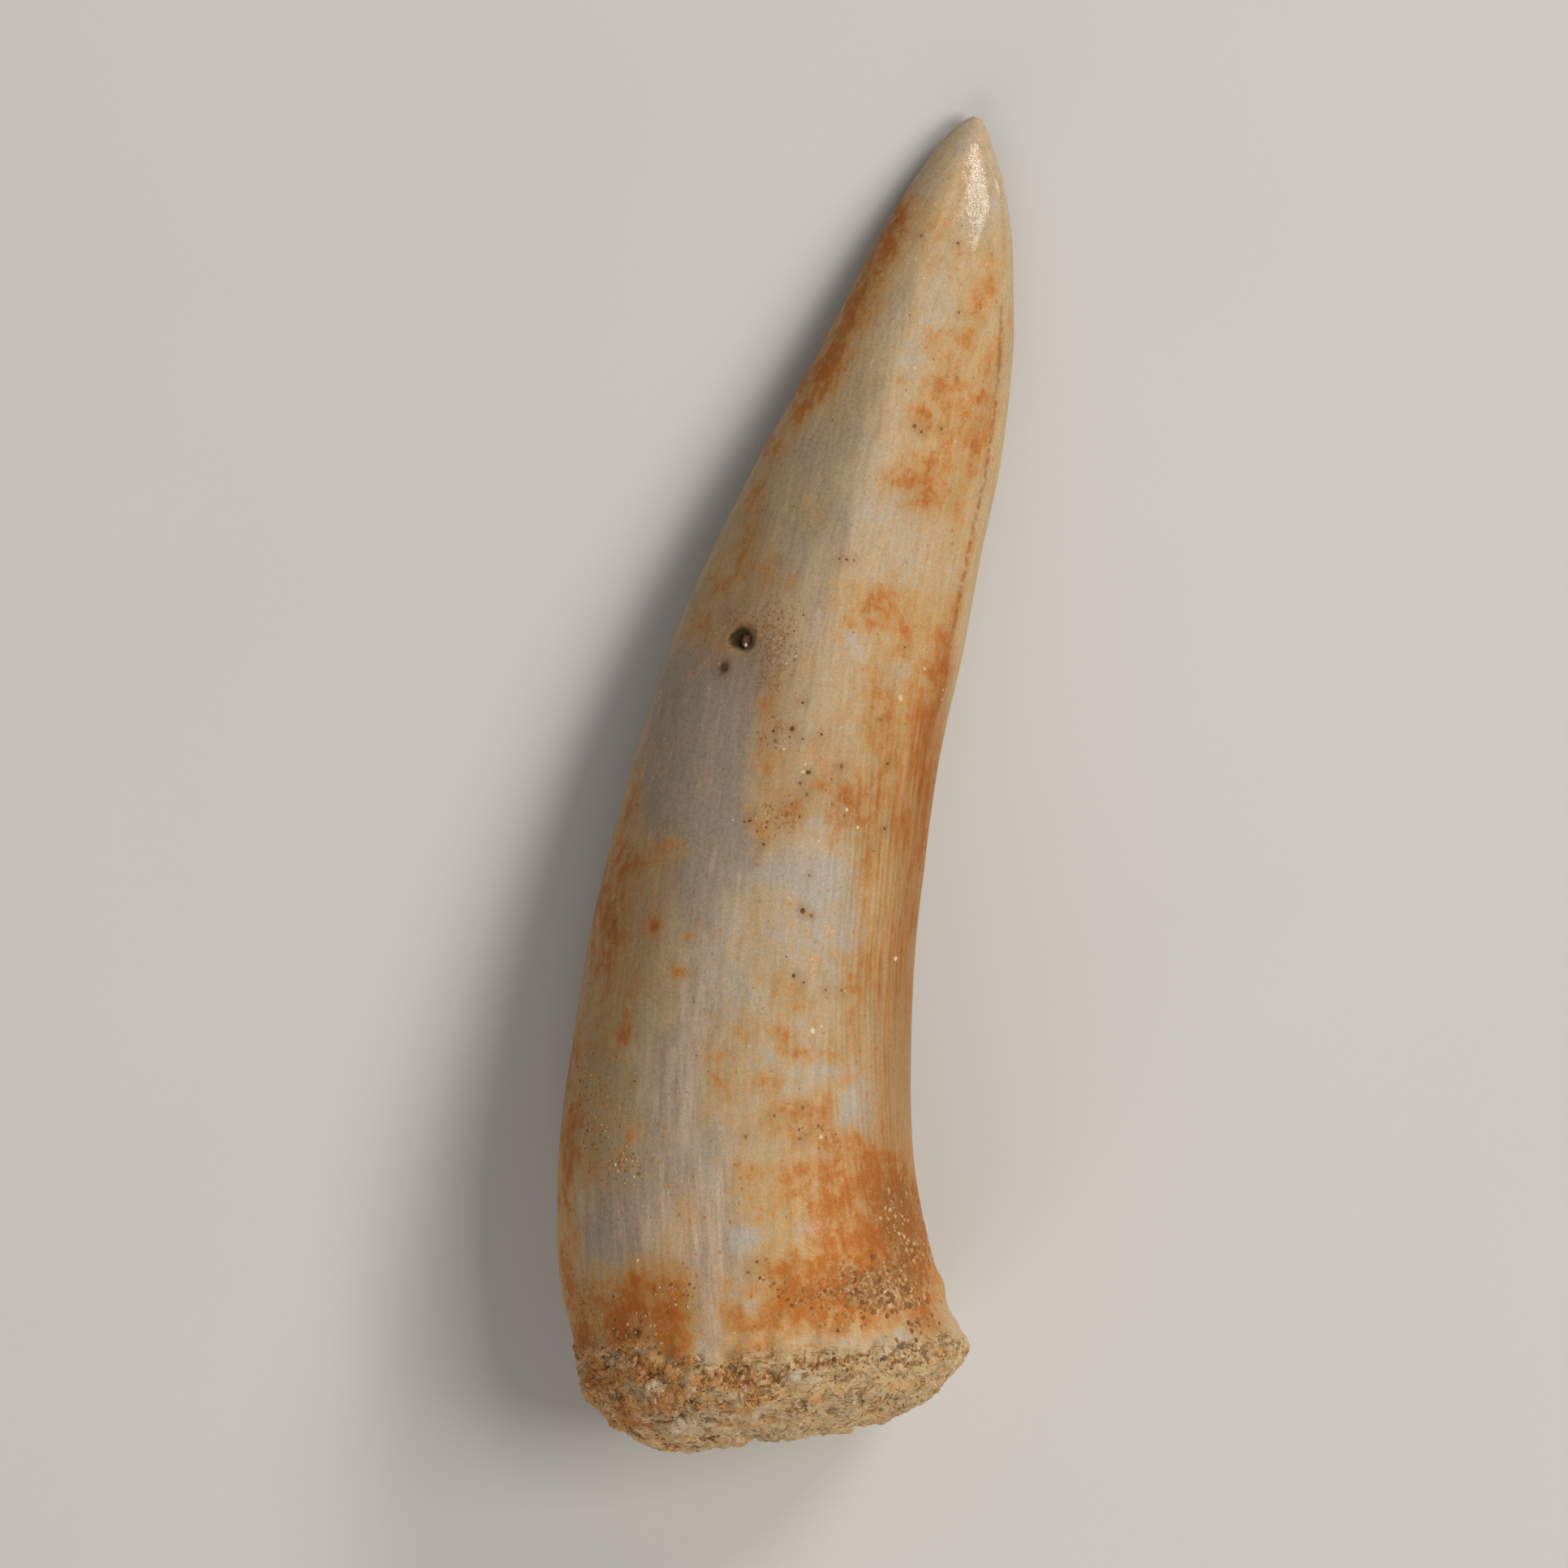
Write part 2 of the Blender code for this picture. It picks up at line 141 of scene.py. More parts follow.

# Spots read off the photograph: x, y of the middle in pixels, then the reach across and along the fang
# in pixels, and the strength. Each list or part of one runs from the tip down. IRON is orange stain.
IRON = (
    # wide, weak zones
    (1165, 260, 14, 40, 0.32), (1140, 310, 16, 30, 0.26), (1190, 400, 36, 80, 0.32),
    (1170, 540, 44, 60, 0.4), (1200, 690, 16, 60, 0.35), (1090, 760, 60, 40, 0.32),
    (1010, 880, 40, 50, 0.2), (1110, 880, 50, 60, 0.38), (960, 960, 30, 50, 0.3),
    (755, 1130, 30, 90, 0.4), (1105, 1150, 26, 120, 0.4), (960, 1200, 50, 60, 0.12),
    (1000, 1280, 50, 50, 0.26), (900, 1320, 44, 50, 0.1), (715, 1330, 24, 110, 0.25),
    (970, 1370, 70, 40, 0.1), (770, 1430, 50, 70, 0.2), (1000, 1470, 60, 44, 0.3),
    (1060, 1540, 60, 70, 0.4), (980, 1600, 80, 40, 0.4), (800, 1610, 56, 40, 0.35),
    # crown
    (1203, 141, 8, 3, 0.45), (1205, 186, 6, 6, 0.7), (1196, 203, 7, 9, 0.5), (1189, 226, 7, 12, 0.5),
    (1106, 275, 12, 40, 0.75), (1096, 290, 20, 34, 0.7), (1181, 315, 10, 14, 0.4),
    (1077, 330, 12, 45, 0.6), (1150, 330, 10, 10, 0.3), (1068, 345, 24, 40, 0.65),
    (1219, 350, 10, 50, 0.5), (1141, 358, 6, 8, 0.35), (1046, 395, 11, 50, 0.5), (1040, 400, 24, 34, 0.4),
    (1144, 415, 11, 10, 0.35), (1190, 420, 20, 60, 0.28), (1160, 440, 20, 30, 0.1),
    (1229, 440, 9, 60, 0.6), (1012, 455, 28, 36, 0.65), (1017, 462, 12, 30, 0.6),
    (1112, 463, 7, 12, 0.45), (1155, 497, 26, 26, 0.55), (985, 500, 12, 40, 0.3), (990, 500, 9, 25, 0.5),
    (1132, 508, 10, 9, 0.55), (975, 512, 20, 28, 0.5), (1222, 520, 8, 40, 0.45),
    (1180, 535, 24, 26, 0.45), (960, 545, 9, 14, 0.5), (948, 565, 12, 34, 0.45),
    (1137, 572, 22, 14, 0.55), (1051, 575, 8, 8, 0.4), (1190, 590, 12, 45, 0.3), (1112, 594, 20, 8, 0.7),
    (925, 610, 12, 30, 0.35), (1150, 612, 28, 22, 0.65), (993, 620, 8, 12, 0.35),
    (1130, 620, 30, 26, 0.4), (933, 625, 9, 35, 0.4), (1007, 640, 8, 8, 0.25), (1062, 652, 6, 10, 0.5),
    (925, 660, 14, 16, 0.45), (915, 690, 22, 20, 0.5), (950, 695, 7, 24, 0.6), (887, 717, 16, 14, 0.5),
    (976, 718, 8, 14, 0.45), (1045, 725, 20, 14, 0.4), (875, 740, 12, 40, 0.45), (1178, 750, 7, 60, 0.5),
    (1082, 752, 46, 30, 0.62), (1120, 770, 26, 40, 0.4), (850, 790, 12, 50, 0.3), (890, 790, 22, 30, 0.4),
    (1033, 790, 14, 16, 0.3),
    # middle
    (1165, 800, 8, 30, 0.6), (1000, 815, 12, 14, 0.3), (1156, 828, 18, 14, 0.8), (1090, 850, 40, 24, 0.3),
    (950, 860, 10, 30, 0.5), (945, 880, 10, 10, 0.4), (1076, 895, 30, 22, 0.35), (790, 900, 6, 50, 0.3),
    (1146, 900, 12, 50, 0.85), (1110, 920, 30, 50, 0.5), (812, 921, 14, 10, 0.2), (935, 925, 8, 20, 0.4),
    (800, 940, 10, 40, 0.2), (944, 942, 14, 14, 0.6), (1060, 960, 40, 30, 0.42),
    (1010, 970, 20, 12, 0.35), (1062, 985, 34, 14, 0.4), (1136, 990, 14, 60, 0.75),
    (782, 1000, 8, 30, 0.5), (925, 1000, 10, 14, 0.5), (960, 1000, 26, 22, 0.55),
    (1045, 1000, 30, 26, 0.65), (940, 1020, 12, 16, 0.55), (1090, 1030, 22, 26, 0.35),
    (1020, 1040, 14, 10, 0.4), (1085, 1040, 24, 30, 0.25), (835, 1042, 22, 12, 0.45),
    (824, 1053, 12, 14, 0.55), (772, 1060, 16, 60, 0.45), (800, 1060, 24, 20, 0.5),
    (760, 1080, 14, 60, 0.55), (1062, 1080, 10, 22, 0.4), (1126, 1090, 12, 60, 0.55),
    (1070, 1095, 16, 60, 0.3), (928, 1100, 7, 24, 0.35), (1080, 1120, 16, 50, 0.25),
    (956, 1140, 24, 14, 0.2), (809, 1142, 8, 9, 1.0), (930, 1150, 34, 20, 0.15), (852, 1158, 10, 8, 0.55),
    (745, 1160, 14, 60, 0.55), (1015, 1165, 10, 12, 0.2), (1030, 1180, 18, 10, 0.35),
    (1065, 1180, 16, 24, 0.45), (1112, 1180, 16, 60, 0.3), (1050, 1190, 10, 60, 0.2),
    (841, 1196, 14, 9, 0.9), (950, 1210, 16, 14, 0.6), (1040, 1210, 12, 20, 0.45),
    (1070, 1210, 16, 30, 0.4), (775, 1225, 8, 44, 0.55), (980, 1225, 14, 14, 0.4),
    (900, 1230, 14, 14, 0.2), (985, 1240, 16, 14, 0.4), (995, 1262, 14, 30, 0.4), (914, 1268, 8, 14, 0.4),
    (1048, 1268, 12, 20, 0.5), (966, 1270, 8, 12, 0.75), (770, 1282, 7, 14, 0.55),
    (705, 1290, 9, 90, 0.45), (1100, 1290, 18, 70, 0.18), (983, 1292, 18, 10, 0.6),
    (878, 1297, 16, 18, 0.6), (1005, 1297, 22, 12, 0.6), (900, 1315, 14, 26, 0.25),
    (1049, 1325, 10, 8, 0.5),
    # lower end
    (740, 1330, 12, 50, 0.35), (1085, 1330, 14, 30, 0.3), (884, 1335, 24, 18, 0.55),
    (965, 1335, 30, 22, 0.3), (944, 1338, 10, 12, 0.45), (1020, 1340, 20, 12, 0.4),
    (915, 1350, 22, 14, 0.2), (985, 1362, 22, 10, 0.5), (1018, 1369, 16, 10, 0.5),
    (870, 1375, 8, 24, 0.5), (944, 1376, 16, 12, 0.6), (955, 1376, 14, 14, 0.5),
    (1060, 1385, 10, 30, 0.35), (1015, 1395, 26, 14, 0.5), (783, 1396, 7, 10, 0.85),
    (822, 1400, 6, 12, 0.45), (940, 1400, 14, 12, 0.35), (975, 1400, 14, 14, 0.4),
    (708, 1410, 12, 60, 0.55), (1062, 1424, 26, 26, 0.7), (770, 1425, 10, 10, 0.7),
    (915, 1434, 12, 10, 0.55), (745, 1440, 30, 30, 0.3), (1015, 1440, 20, 20, 0.55),
    (960, 1445, 34, 16, 0.5), (1085, 1450, 20, 36, 0.55), (852, 1470, 8, 10, 0.4),
    (840, 1480, 8, 16, 0.3), (1035, 1480, 30, 30, 0.7), (948, 1490, 26, 22, 0.5),
    (858, 1494, 7, 18, 0.65), (1102, 1495, 22, 50, 0.95), (697, 1500, 9, 60, 0.85),
    (1105, 1500, 20, 50, 0.85), (821, 1523, 8, 22, 0.35), (1040, 1525, 32, 30, 0.75),
    (1138, 1540, 12, 60, 0.65), (702, 1560, 9, 36, 0.7), (985, 1562, 34, 18, 0.9),
    (786, 1565, 16, 22, 0.75), (1060, 1575, 30, 26, 0.7), (1110, 1575, 30, 36, 0.7),
    (950, 1578, 18, 14, 0.6), (901, 1580, 8, 8, 0.8), (1000, 1588, 30, 12, 0.5),
    (1003, 1588, 36, 18, 0.9), (1143, 1592, 16, 16, 0.6), (735, 1600, 16, 30, 0.6),
    (825, 1600, 30, 26, 0.95), (1040, 1600, 50, 26, 0.35), (820, 1602, 24, 20, 0.9),
    (922, 1606, 22, 18, 0.5), (775, 1610, 30, 22, 0.85), (900, 1610, 10, 14, 0.4),
    (840, 1620, 16, 22, 0.8), (1020, 1620, 30, 16, 0.4), (975, 1625, 30, 22, 0.45),
    (1073, 1628, 34, 14, 0.6), (928, 1632, 34, 22, 0.65), (720, 1640, 14, 30, 0.6),
    (748, 1640, 24, 24, 0.75), (1150, 1640, 18, 20, 0.35), (800, 1650, 30, 22, 0.7),
    (950, 1655, 30, 10, 0.5), (850, 1660, 14, 22, 0.55), (890, 1662, 18, 12, 0.6),
    (728, 1672, 18, 22, 0.85),
    # bone of attachment
    (758, 1640, 9, 22, 0.9), (735, 1650, 20, 30, 0.8), (1152, 1668, 20, 12, 0.6),
    (800, 1680, 40, 20, 0.6), (820, 1690, 50, 16, 0.5), (1010, 1690, 40, 20, 0.2),
    (742, 1692, 16, 22, 0.9), (885, 1700, 30, 10, 0.5), (935, 1714, 20, 14, 0.75),
    (1075, 1715, 14, 8, 0.4), (832, 1716, 60, 30, 0.65), (850, 1735, 30, 16, 0.6),
    (970, 1735, 14, 10, 0.4), (880, 1740, 44, 20, 0.5), (785, 1742, 30, 20, 0.9),
    (805, 1755, 40, 16, 0.7),
)
# WARM is a broad yellowish tan tint.
WARM = (
    (1180, 260, 26, 50, 0.4), (1110, 270, 26, 40, 0.85), (1205, 330, 26, 60, 0.5),
    (1065, 350, 28, 56, 0.8), (1130, 400, 20, 60, 0.3), (1190, 420, 40, 90, 0.7),
    (1012, 445, 28, 56, 0.75), (985, 500, 14, 60, 0.6), (958, 530, 24, 50, 0.7), (1150, 560, 60, 60, 0.7),
    (1190, 620, 24, 90, 0.7), (905, 640, 14, 90, 0.6), (920, 640, 30, 50, 0.9), (880, 720, 30, 44, 0.8),
    (1170, 740, 22, 60, 0.7), (1090, 770, 60, 40, 0.6), (880, 780, 30, 60, 0.7), (842, 800, 20, 56, 0.7),
    (890, 800, 20, 20, 0.5), (1130, 850, 50, 60, 0.6), (1070, 910, 60, 50, 0.6), (800, 930, 18, 60, 0.6),
    (960, 990, 40, 60, 0.45), (770, 1040, 26, 70, 0.8), (800, 1060, 40, 50, 0.7),
    (1110, 1060, 50, 110, 0.75), (752, 1150, 36, 90, 0.85), (960, 1170, 60, 60, 0.45),
    (735, 1250, 34, 70, 0.8), (1100, 1260, 44, 110, 0.85), (930, 1300, 80, 60, 0.4),
    (715, 1360, 34, 60, 0.75), (990, 1370, 80, 60, 0.35), (1110, 1380, 30, 60, 0.8),
    (700, 1400, 16, 150, 0.85), (780, 1400, 40, 40, 0.4), (745, 1410, 34, 44, 0.6),
    (800, 1440, 50, 60, 0.35), (872, 1450, 24, 36, 0.6), (740, 1480, 30, 40, 0.4),
    (1010, 1480, 110, 60, 0.8), (697, 1500, 15, 90, 0.8), (850, 1500, 30, 40, 0.4),
    (850, 1500, 40, 30, 0.35), (1080, 1570, 80, 70, 0.8), (960, 1590, 110, 50, 0.75),
    (700, 1620, 20, 50, 0.6), (800, 1620, 80, 44, 0.85),
)
# LILAC is grey, faintly violet enameloid and partly a painted broad sheen, OLIVE grey-green, and PALE chalky
# white with a few spots of painted light.
LILAC = (
    (1120, 345, 14, 34, 0.4), (1100, 390, 16, 40, 0.3), (1060, 540, 14, 40, 0.4), (985, 545, 20, 16, 0.3),
    (1000, 560, 30, 40, 0.4), (1000, 640, 34, 40, 0.15), (1040, 645, 14, 36, 0.4),
    (970, 655, 16, 24, 0.4), (985, 700, 26, 30, 0.5), (860, 735, 16, 16, 0.5), (1010, 760, 20, 36, 0.55),
    (945, 800, 26, 20, 0.4), (850, 820, 26, 24, 0.7), (925, 830, 20, 26, 0.6), (870, 870, 48, 44, 0.9),
    (862, 950, 50, 56, 1.0), (825, 990, 34, 40, 0.7), (880, 1010, 36, 34, 0.9), (905, 1060, 26, 26, 0.6),
    (860, 1070, 34, 44, 0.75), (920, 1090, 12, 30, 0.3), (868, 1150, 22, 44, 0.4),
    (868, 1220, 20, 44, 0.45), (840, 1280, 26, 50, 0.55), (830, 1340, 32, 40, 0.65),
    (830, 1410, 40, 20, 0.4), (850, 1420, 40, 36, 0.5), (790, 1470, 40, 36, 0.6),
    (880, 1470, 26, 34, 0.4), (738, 1510, 30, 40, 0.7), (780, 1530, 26, 24, 0.7),
    (885, 1540, 24, 34, 0.5), (905, 1540, 18, 24, 0.4), (868, 1600, 15, 44, 0.6),
    (872, 1655, 14, 24, 0.6), (985, 1690, 18, 8, 0.8),
)
OLIVE = (
    (1085, 430, 18, 50, 0.45), (1050, 500, 26, 40, 0.75), (1015, 565, 34, 44, 0.85),
    (940, 600, 20, 40, 0.6), (990, 630, 36, 44, 0.8), (920, 670, 26, 30, 0.75), (900, 740, 26, 26, 0.7),
    (885, 800, 22, 30, 0.9), (888, 828, 12, 14, 0.9), (820, 915, 20, 20, 0.5), (820, 1050, 24, 40, 0.6),
    (790, 1130, 24, 50, 0.5), (780, 1220, 26, 50, 0.5), (745, 1290, 24, 50, 0.7),
    (735, 1360, 34, 44, 0.85), (760, 1420, 34, 34, 0.7), (730, 1460, 24, 30, 0.6),
    (770, 1490, 24, 24, 0.5), (735, 1500, 24, 40, 0.35), (845, 1545, 20, 20, 0.3),
    (720, 1590, 20, 36, 0.8),
)
PALE = (
    # The spot at (1226, 240) is a painted highlight on the tip's glossy facet, and the one at (1150, 250) is
    # painted light on the tip's left face.
    (1200, 160, 14, 22, 0.35), (1180, 170, 16, 30, 0.25), (1226, 240, 12, 40, 0.5),
    (1150, 250, 14, 40, 0.35), (1152, 385, 14, 26, 0.5), (1125, 430, 14, 40, 0.45),
    (1035, 610, 10, 30, 0.35), (1085, 620, 18, 24, 0.3), (1070, 640, 14, 30, 0.3),
    (1110, 680, 44, 34, 0.4), (1046, 786, 10, 12, 0.6), (1050, 810, 14, 16, 0.35),
    (1100, 815, 14, 12, 0.35), (1110, 822, 14, 16, 0.5), (1052, 905, 14, 30, 0.4),
    (1058, 928, 12, 20, 0.4), (1007, 1015, 12, 12, 0.6), (1000, 1070, 16, 18, 0.6),
    (965, 1075, 34, 16, 0.7), (985, 1085, 20, 12, 0.5), (1012, 1105, 30, 36, 0.9),
    (1040, 1130, 30, 60, 0.2), (930, 1150, 20, 20, 0.3), (1018, 1150, 24, 18, 0.5),
    (880, 1160, 18, 50, 0.4), (1050, 1165, 16, 14, 0.5), (930, 1180, 50, 60, 0.12),
    (996, 1180, 22, 22, 0.5), (905, 1230, 18, 40, 0.4), (1008, 1287, 12, 8, 0.6),
    (960, 1290, 70, 50, 0.17), (945, 1310, 12, 10, 0.4), (1030, 1315, 20, 14, 0.65),
    (977, 1341, 18, 10, 0.5), (1063, 1349, 8, 15, 0.9), (1057, 1360, 16, 30, 0.7),
    (1050, 1373, 9, 12, 0.9), (888, 1400, 22, 24, 0.3), (900, 1400, 50, 50, 0.17),
    (983, 1401, 14, 10, 0.4), (870, 1440, 26, 20, 0.35), (1040, 1450, 10, 8, 0.2),
    (998, 1507, 17, 10, 1.0), (917, 1521, 12, 10, 1.0), (915, 1524, 14, 12, 0.9),
    (915, 1590, 20, 18, 0.5), (928, 1594, 18, 16, 0.6), (1168, 1640, 10, 24, 0.25),
    (1100, 1645, 40, 10, 0.55), (1012, 1648, 44, 10, 0.5), (790, 1656, 18, 6, 0.8),
    (745, 1660, 12, 14, 0.6), (1110, 1662, 40, 7, 0.7), (985, 1688, 10, 6, 0.6),
    (1152, 1692, 14, 10, 0.5), (800, 1706, 26, 12, 0.6), (935, 1706, 12, 5, 0.5),
    # The spot at (850, 1748) is painted light on the base's lower edge, which turns away from the key.
    (1040, 1740, 60, 8, 0.35), (850, 1748, 50, 20, 0.75),
)
# A painted highlight along the ridge: pale, streaked and faintly violet.
VIOLET_HIGHLIGHT = (
    (1012, 750, 14, 36, 0.5), (1005, 1040, 24, 10, 0.5), (900, 1090, 20, 20, 0.3),
    (910, 1150, 14, 40, 0.35), (868, 1160, 16, 40, 0.35), (930, 1240, 10, 40, 0.25),
    (865, 1250, 20, 44, 0.6), (835, 1330, 28, 44, 0.65), (850, 1410, 34, 34, 0.4),
    (880, 1470, 20, 30, 0.45), (740, 1500, 24, 30, 0.3), (820, 1500, 24, 30, 0.5),
    (880, 1530, 20, 34, 0.65), (870, 1590, 15, 40, 0.8), (874, 1650, 13, 26, 0.7),
)
# Brown dirt held by rough enameloid, and under the sand clusters painted shadow of the sand.
SOIL_AND_SHADOW = (
    (1103, 271, 10, 14, 0.6), (1043, 449, 6, 10, 0.5), (956, 750, 22, 14, 0.6), (903, 768, 24, 30, 0.55),
    (940, 780, 16, 14, 0.6), (958, 805, 26, 34, 0.75), (885, 828, 12, 12, 0.7), (945, 840, 20, 20, 0.5),
    (1155, 850, 10, 24, 0.5), (955, 905, 22, 20, 0.5), (1000, 965, 26, 16, 0.35),
    (960, 1010, 26, 20, 0.6), (740, 1400, 30, 40, 0.35), (770, 1430, 26, 22, 0.5),
    (1098, 1490, 22, 36, 0.6), (1109, 1500, 22, 50, 1.0), (1130, 1530, 16, 50, 0.5),
    (1040, 1560, 24, 14, 0.5), (1088, 1584, 44, 26, 0.9), (720, 1590, 16, 34, 0.5),
    (1005, 1590, 26, 14, 0.5), (715, 1640, 14, 30, 0.5), (800, 1640, 40, 24, 0.3),
    (735, 1680, 16, 24, 0.4), (760, 1718, 22, 16, 0.9), (782, 1735, 22, 12, 0.8),
)
# DEEP is stain that has soaked in and darkened everything, and on the left side it is partly painted shade.
DEEP = (
    (1233, 450, 6, 120, 0.35), (1120, 620, 34, 26, 0.35), (1000, 640, 20, 24, 0.25),
    (930, 660, 14, 40, 0.4), (1080, 690, 30, 40, 0.2), (945, 715, 22, 34, 0.6), (914, 775, 32, 40, 0.7),
    (1165, 800, 8, 40, 0.5), (955, 860, 24, 50, 0.55), (1146, 900, 14, 60, 0.8), (980, 1000, 20, 30, 0.3),
    (1060, 1000, 40, 40, 0.25), (1136, 1000, 16, 80, 0.85), (1126, 1100, 14, 80, 0.8),
    # The spots at (805, 1130) and (740, 1200) are painted shade where the light falls off on the left side.
    (805, 1130, 26, 110, 0.6), (740, 1200, 20, 110, 0.3), (1112, 1240, 22, 100, 0.9),
    (1112, 1370, 18, 80, 0.8), (700, 1380, 20, 90, 0.4), (1005, 1410, 30, 24, 0.25),
    (1090, 1420, 20, 70, 0.5), (1102, 1500, 24, 44, 0.9), (1115, 1500, 22, 60, 0.6),
    (1130, 1570, 22, 40, 0.6), (1085, 1585, 40, 26, 0.4), (825, 1600, 40, 34, 0.6),
    (765, 1630, 50, 40, 0.35), (1150, 1635, 20, 26, 0.65), (735, 1640, 26, 30, 0.3),
)
# POLISH is enameloid that has kept its gloss.
POLISH = (
    (1203, 190, 10, 16, 0.7), (1211, 215, 12, 26, 1.0), (1216, 255, 16, 28, 1.0),
    (1232, 262, 10, 30, 0.9), (1227, 295, 13, 30, 0.8),
)

# Low swellings of the surface: x, y in pixels, reach across and along in pixels, height in mm.
SWELLINGS = (
    (1160, 240, 10, 60, 0.03), (1231, 240, 15, 44, 0.12), (1226, 345, 14, 40, 0.04),
    (985, 560, 40, 60, 0.05), (930, 800, 34, 26, 0.06), (1160, 845, 12, 22, 0.1),
    (1040, 860, 30, 60, 0.04), (960, 1010, 30, 26, 0.05), (840, 1120, 40, 60, 0.04),
    (900, 1330, 50, 50, 0.04), (760, 1420, 40, 40, 0.06), (1085, 1580, 40, 24, 0.08),
    (1010, 1600, 60, 14, -0.05), (820, 1610, 40, 30, 0.06), (1110, 1640, 50, 14, 0.07),
    (930, 1650, 80, 14, 0.05),
)

# Single dark specks, and white flecks that are painted glints: x, y in pixels, radius in mm. A dark one has a
# brown halo, with its reach in pixels and its strength for each mm of the speck's radius.
HALO_REACH = 6
HALO_PER_MM = 9
DARK_SPECKS = (
    (989, 866, 0.06), (1085, 887, 0.08), (976, 898, 0.09), (989, 911, 0.05), (953, 901, 0.07),
    (938, 911, 0.07), (996, 952, 0.09), (1036, 944, 0.08), (1093, 941, 0.09), (986, 965, 0.07),
    (994, 979, 0.08), (924, 1011, 0.08), (1090, 1021, 0.07), (985, 1006, 0.05), (989, 1121, 0.11),
    (999, 1127, 0.08), (978, 1201, 0.07), (990, 1209, 0.06), (1017, 1218, 0.06), (1036, 1219, 0.05),
    (954, 1372, 0.06), (919, 1397, 0.07), (1127, 525, 0.08), (1135, 532, 0.07), (1034, 689, 0.05),
    (1043, 690, 0.05), (1052, 691, 0.05), (1136, 289, 0.06), (1181, 298, 0.06), (1182, 384, 0.06),
    (1160, 528, 0.06), (1115, 798, 0.05), (892, 822, 0.09), (997, 1078, 0.05), (1081, 1135, 0.06),
    (989, 1362, 0.08), (783, 1330, 0.05), (941, 1040, 0.07), (1012, 905, 0.05), (1040, 1005, 0.05),
    (985, 1400, 0.06), (922, 1563, 0.07), (933, 1550, 0.06), (1032, 1634, 0.08), (960, 1615, 0.06),
    (1024, 960, 0.05), (1076, 1048, 0.05),
)
WHITE_GLINT_FLECKS = (
    (1109, 860, 0.16), (1162, 850, 0.08), (1001, 1268, 0.17), (1012, 1263, 0.1), (1103, 1181, 0.13),
    (1139, 824, 0.09), (1056, 1019, 0.11), (989, 951, 0.12), (1046, 748, 0.08), (1043, 998, 0.1),
    (992, 942, 0.08), (966, 923, 0.09), (1160, 862, 0.07), (782, 1447, 0.1), (1011, 1398, 0.12),
    (1128, 318, 0.09), (1138, 342, 0.09), (1127, 453, 0.08), (903, 1010, 0.07), (1041, 1220, 0.06),
    (787, 1549, 0.1), (1212, 1560, 0.05), (1008, 1036, 0.07), (969, 818, 0.07),
)
# Clusters of sand grains: x, y of the middle, reach across and along in pixels, how many, radius in mm.
SAND = (
    (1080, 1582, 36, 22, 300, 0.105), (1108, 1600, 26, 14, 70, 0.11), (1106, 1500, 14, 36, 38, 0.08),
    (1098, 1480, 8, 14, 14, 0.11), (1130, 1560, 12, 40, 60, 0.07), (785, 1642, 30, 22, 60, 0.075),
    (830, 1590, 30, 20, 36, 0.06), (897, 1686, 26, 8, 40, 0.085), (950, 1690, 22, 8, 34, 0.09),
    (1000, 1674, 30, 9, 54, 0.085), (1055, 1670, 24, 8, 50, 0.085), (1120, 1665, 30, 12, 60, 0.08),
    (1000, 1595, 30, 12, 30, 0.065), (960, 1575, 26, 12, 24, 0.06), (960, 1008, 26, 18, 40, 0.05),
    (955, 905, 22, 18, 26, 0.045), (960, 780, 22, 30, 44, 0.045), (1010, 1395, 26, 16, 20, 0.06),
    (775, 1435, 24, 20, 30, 0.06), (1045, 1620, 34, 16, 34, 0.065), (1112, 1535, 14, 26, 46, 0.07),
    (1135, 1625, 16, 18, 40, 0.075), (1050, 1588, 24, 14, 50, 0.075), (760, 1660, 26, 18, 44, 0.07),
    (860, 1720, 90, 34, 50, 0.06), (1050, 1715, 100, 24, 50, 0.06), (735, 1380, 26, 50, 90, 0.05),
)
SAND_SUNK = 0.35

# Crumbs of bone all over the base: how many, their radii in mm, and how deep they sit.
CRUMBS = 4200
CRUMB_RADII = (0.045, 0.135)
CRUMB_SUNK = 0.55

# Crevices and holes with painted shade in them, most along the border of the bone: x, y, reach across and
# along in pixels, depth in mm.
HOLLOWS = (
    (892, 823, 5, 6, 0.06), (785, 1637, 4, 4, 0.05), (1118, 1654, 4, 4, 0.08), (1108, 1655, 4, 4, 0.1),
    (1137, 1662, 5, 6, 0.1), (1053, 1666, 8, 4, 0.1), (990, 1671, 5, 5, 0.08), (1023, 1671, 6, 5, 0.1),
    (1084, 1671, 10, 4, 0.06), (1124, 1675, 9, 4, 0.08), (833, 1676, 7, 4, 0.06),
    (1008, 1676, 12, 4, 0.1), (968, 1678, 7, 5, 0.1), (1045, 1681, 4, 4, 0.08), (905, 1685, 11, 4, 0.1),
    (948, 1688, 7, 7, 0.12), (1107, 1692, 5, 5, 0.1), (1038, 1696, 12, 4, 0.1), (921, 1697, 10, 4, 0.1),
    (936, 1704, 11, 4, 0.08), (757, 1716, 8, 8, 0.14), (985, 1721, 14, 4, 0.08), (850, 1722, 8, 4, 0.07),
    (1062, 1724, 6, 4, 0.08), (900, 1725, 8, 4, 0.06), (1025, 1733, 10, 4, 0.08),
    (1074, 1733, 9, 4, 0.08), (940, 1742, 6, 4, 0.06), (880, 1745, 10, 4, 0.07), (820, 1747, 16, 4, 0.08),
    (870, 1768, 11, 4, 0.06),
)
# Each is cut this much wider than its reach says.
HOLLOW_WIDENING = 1.25

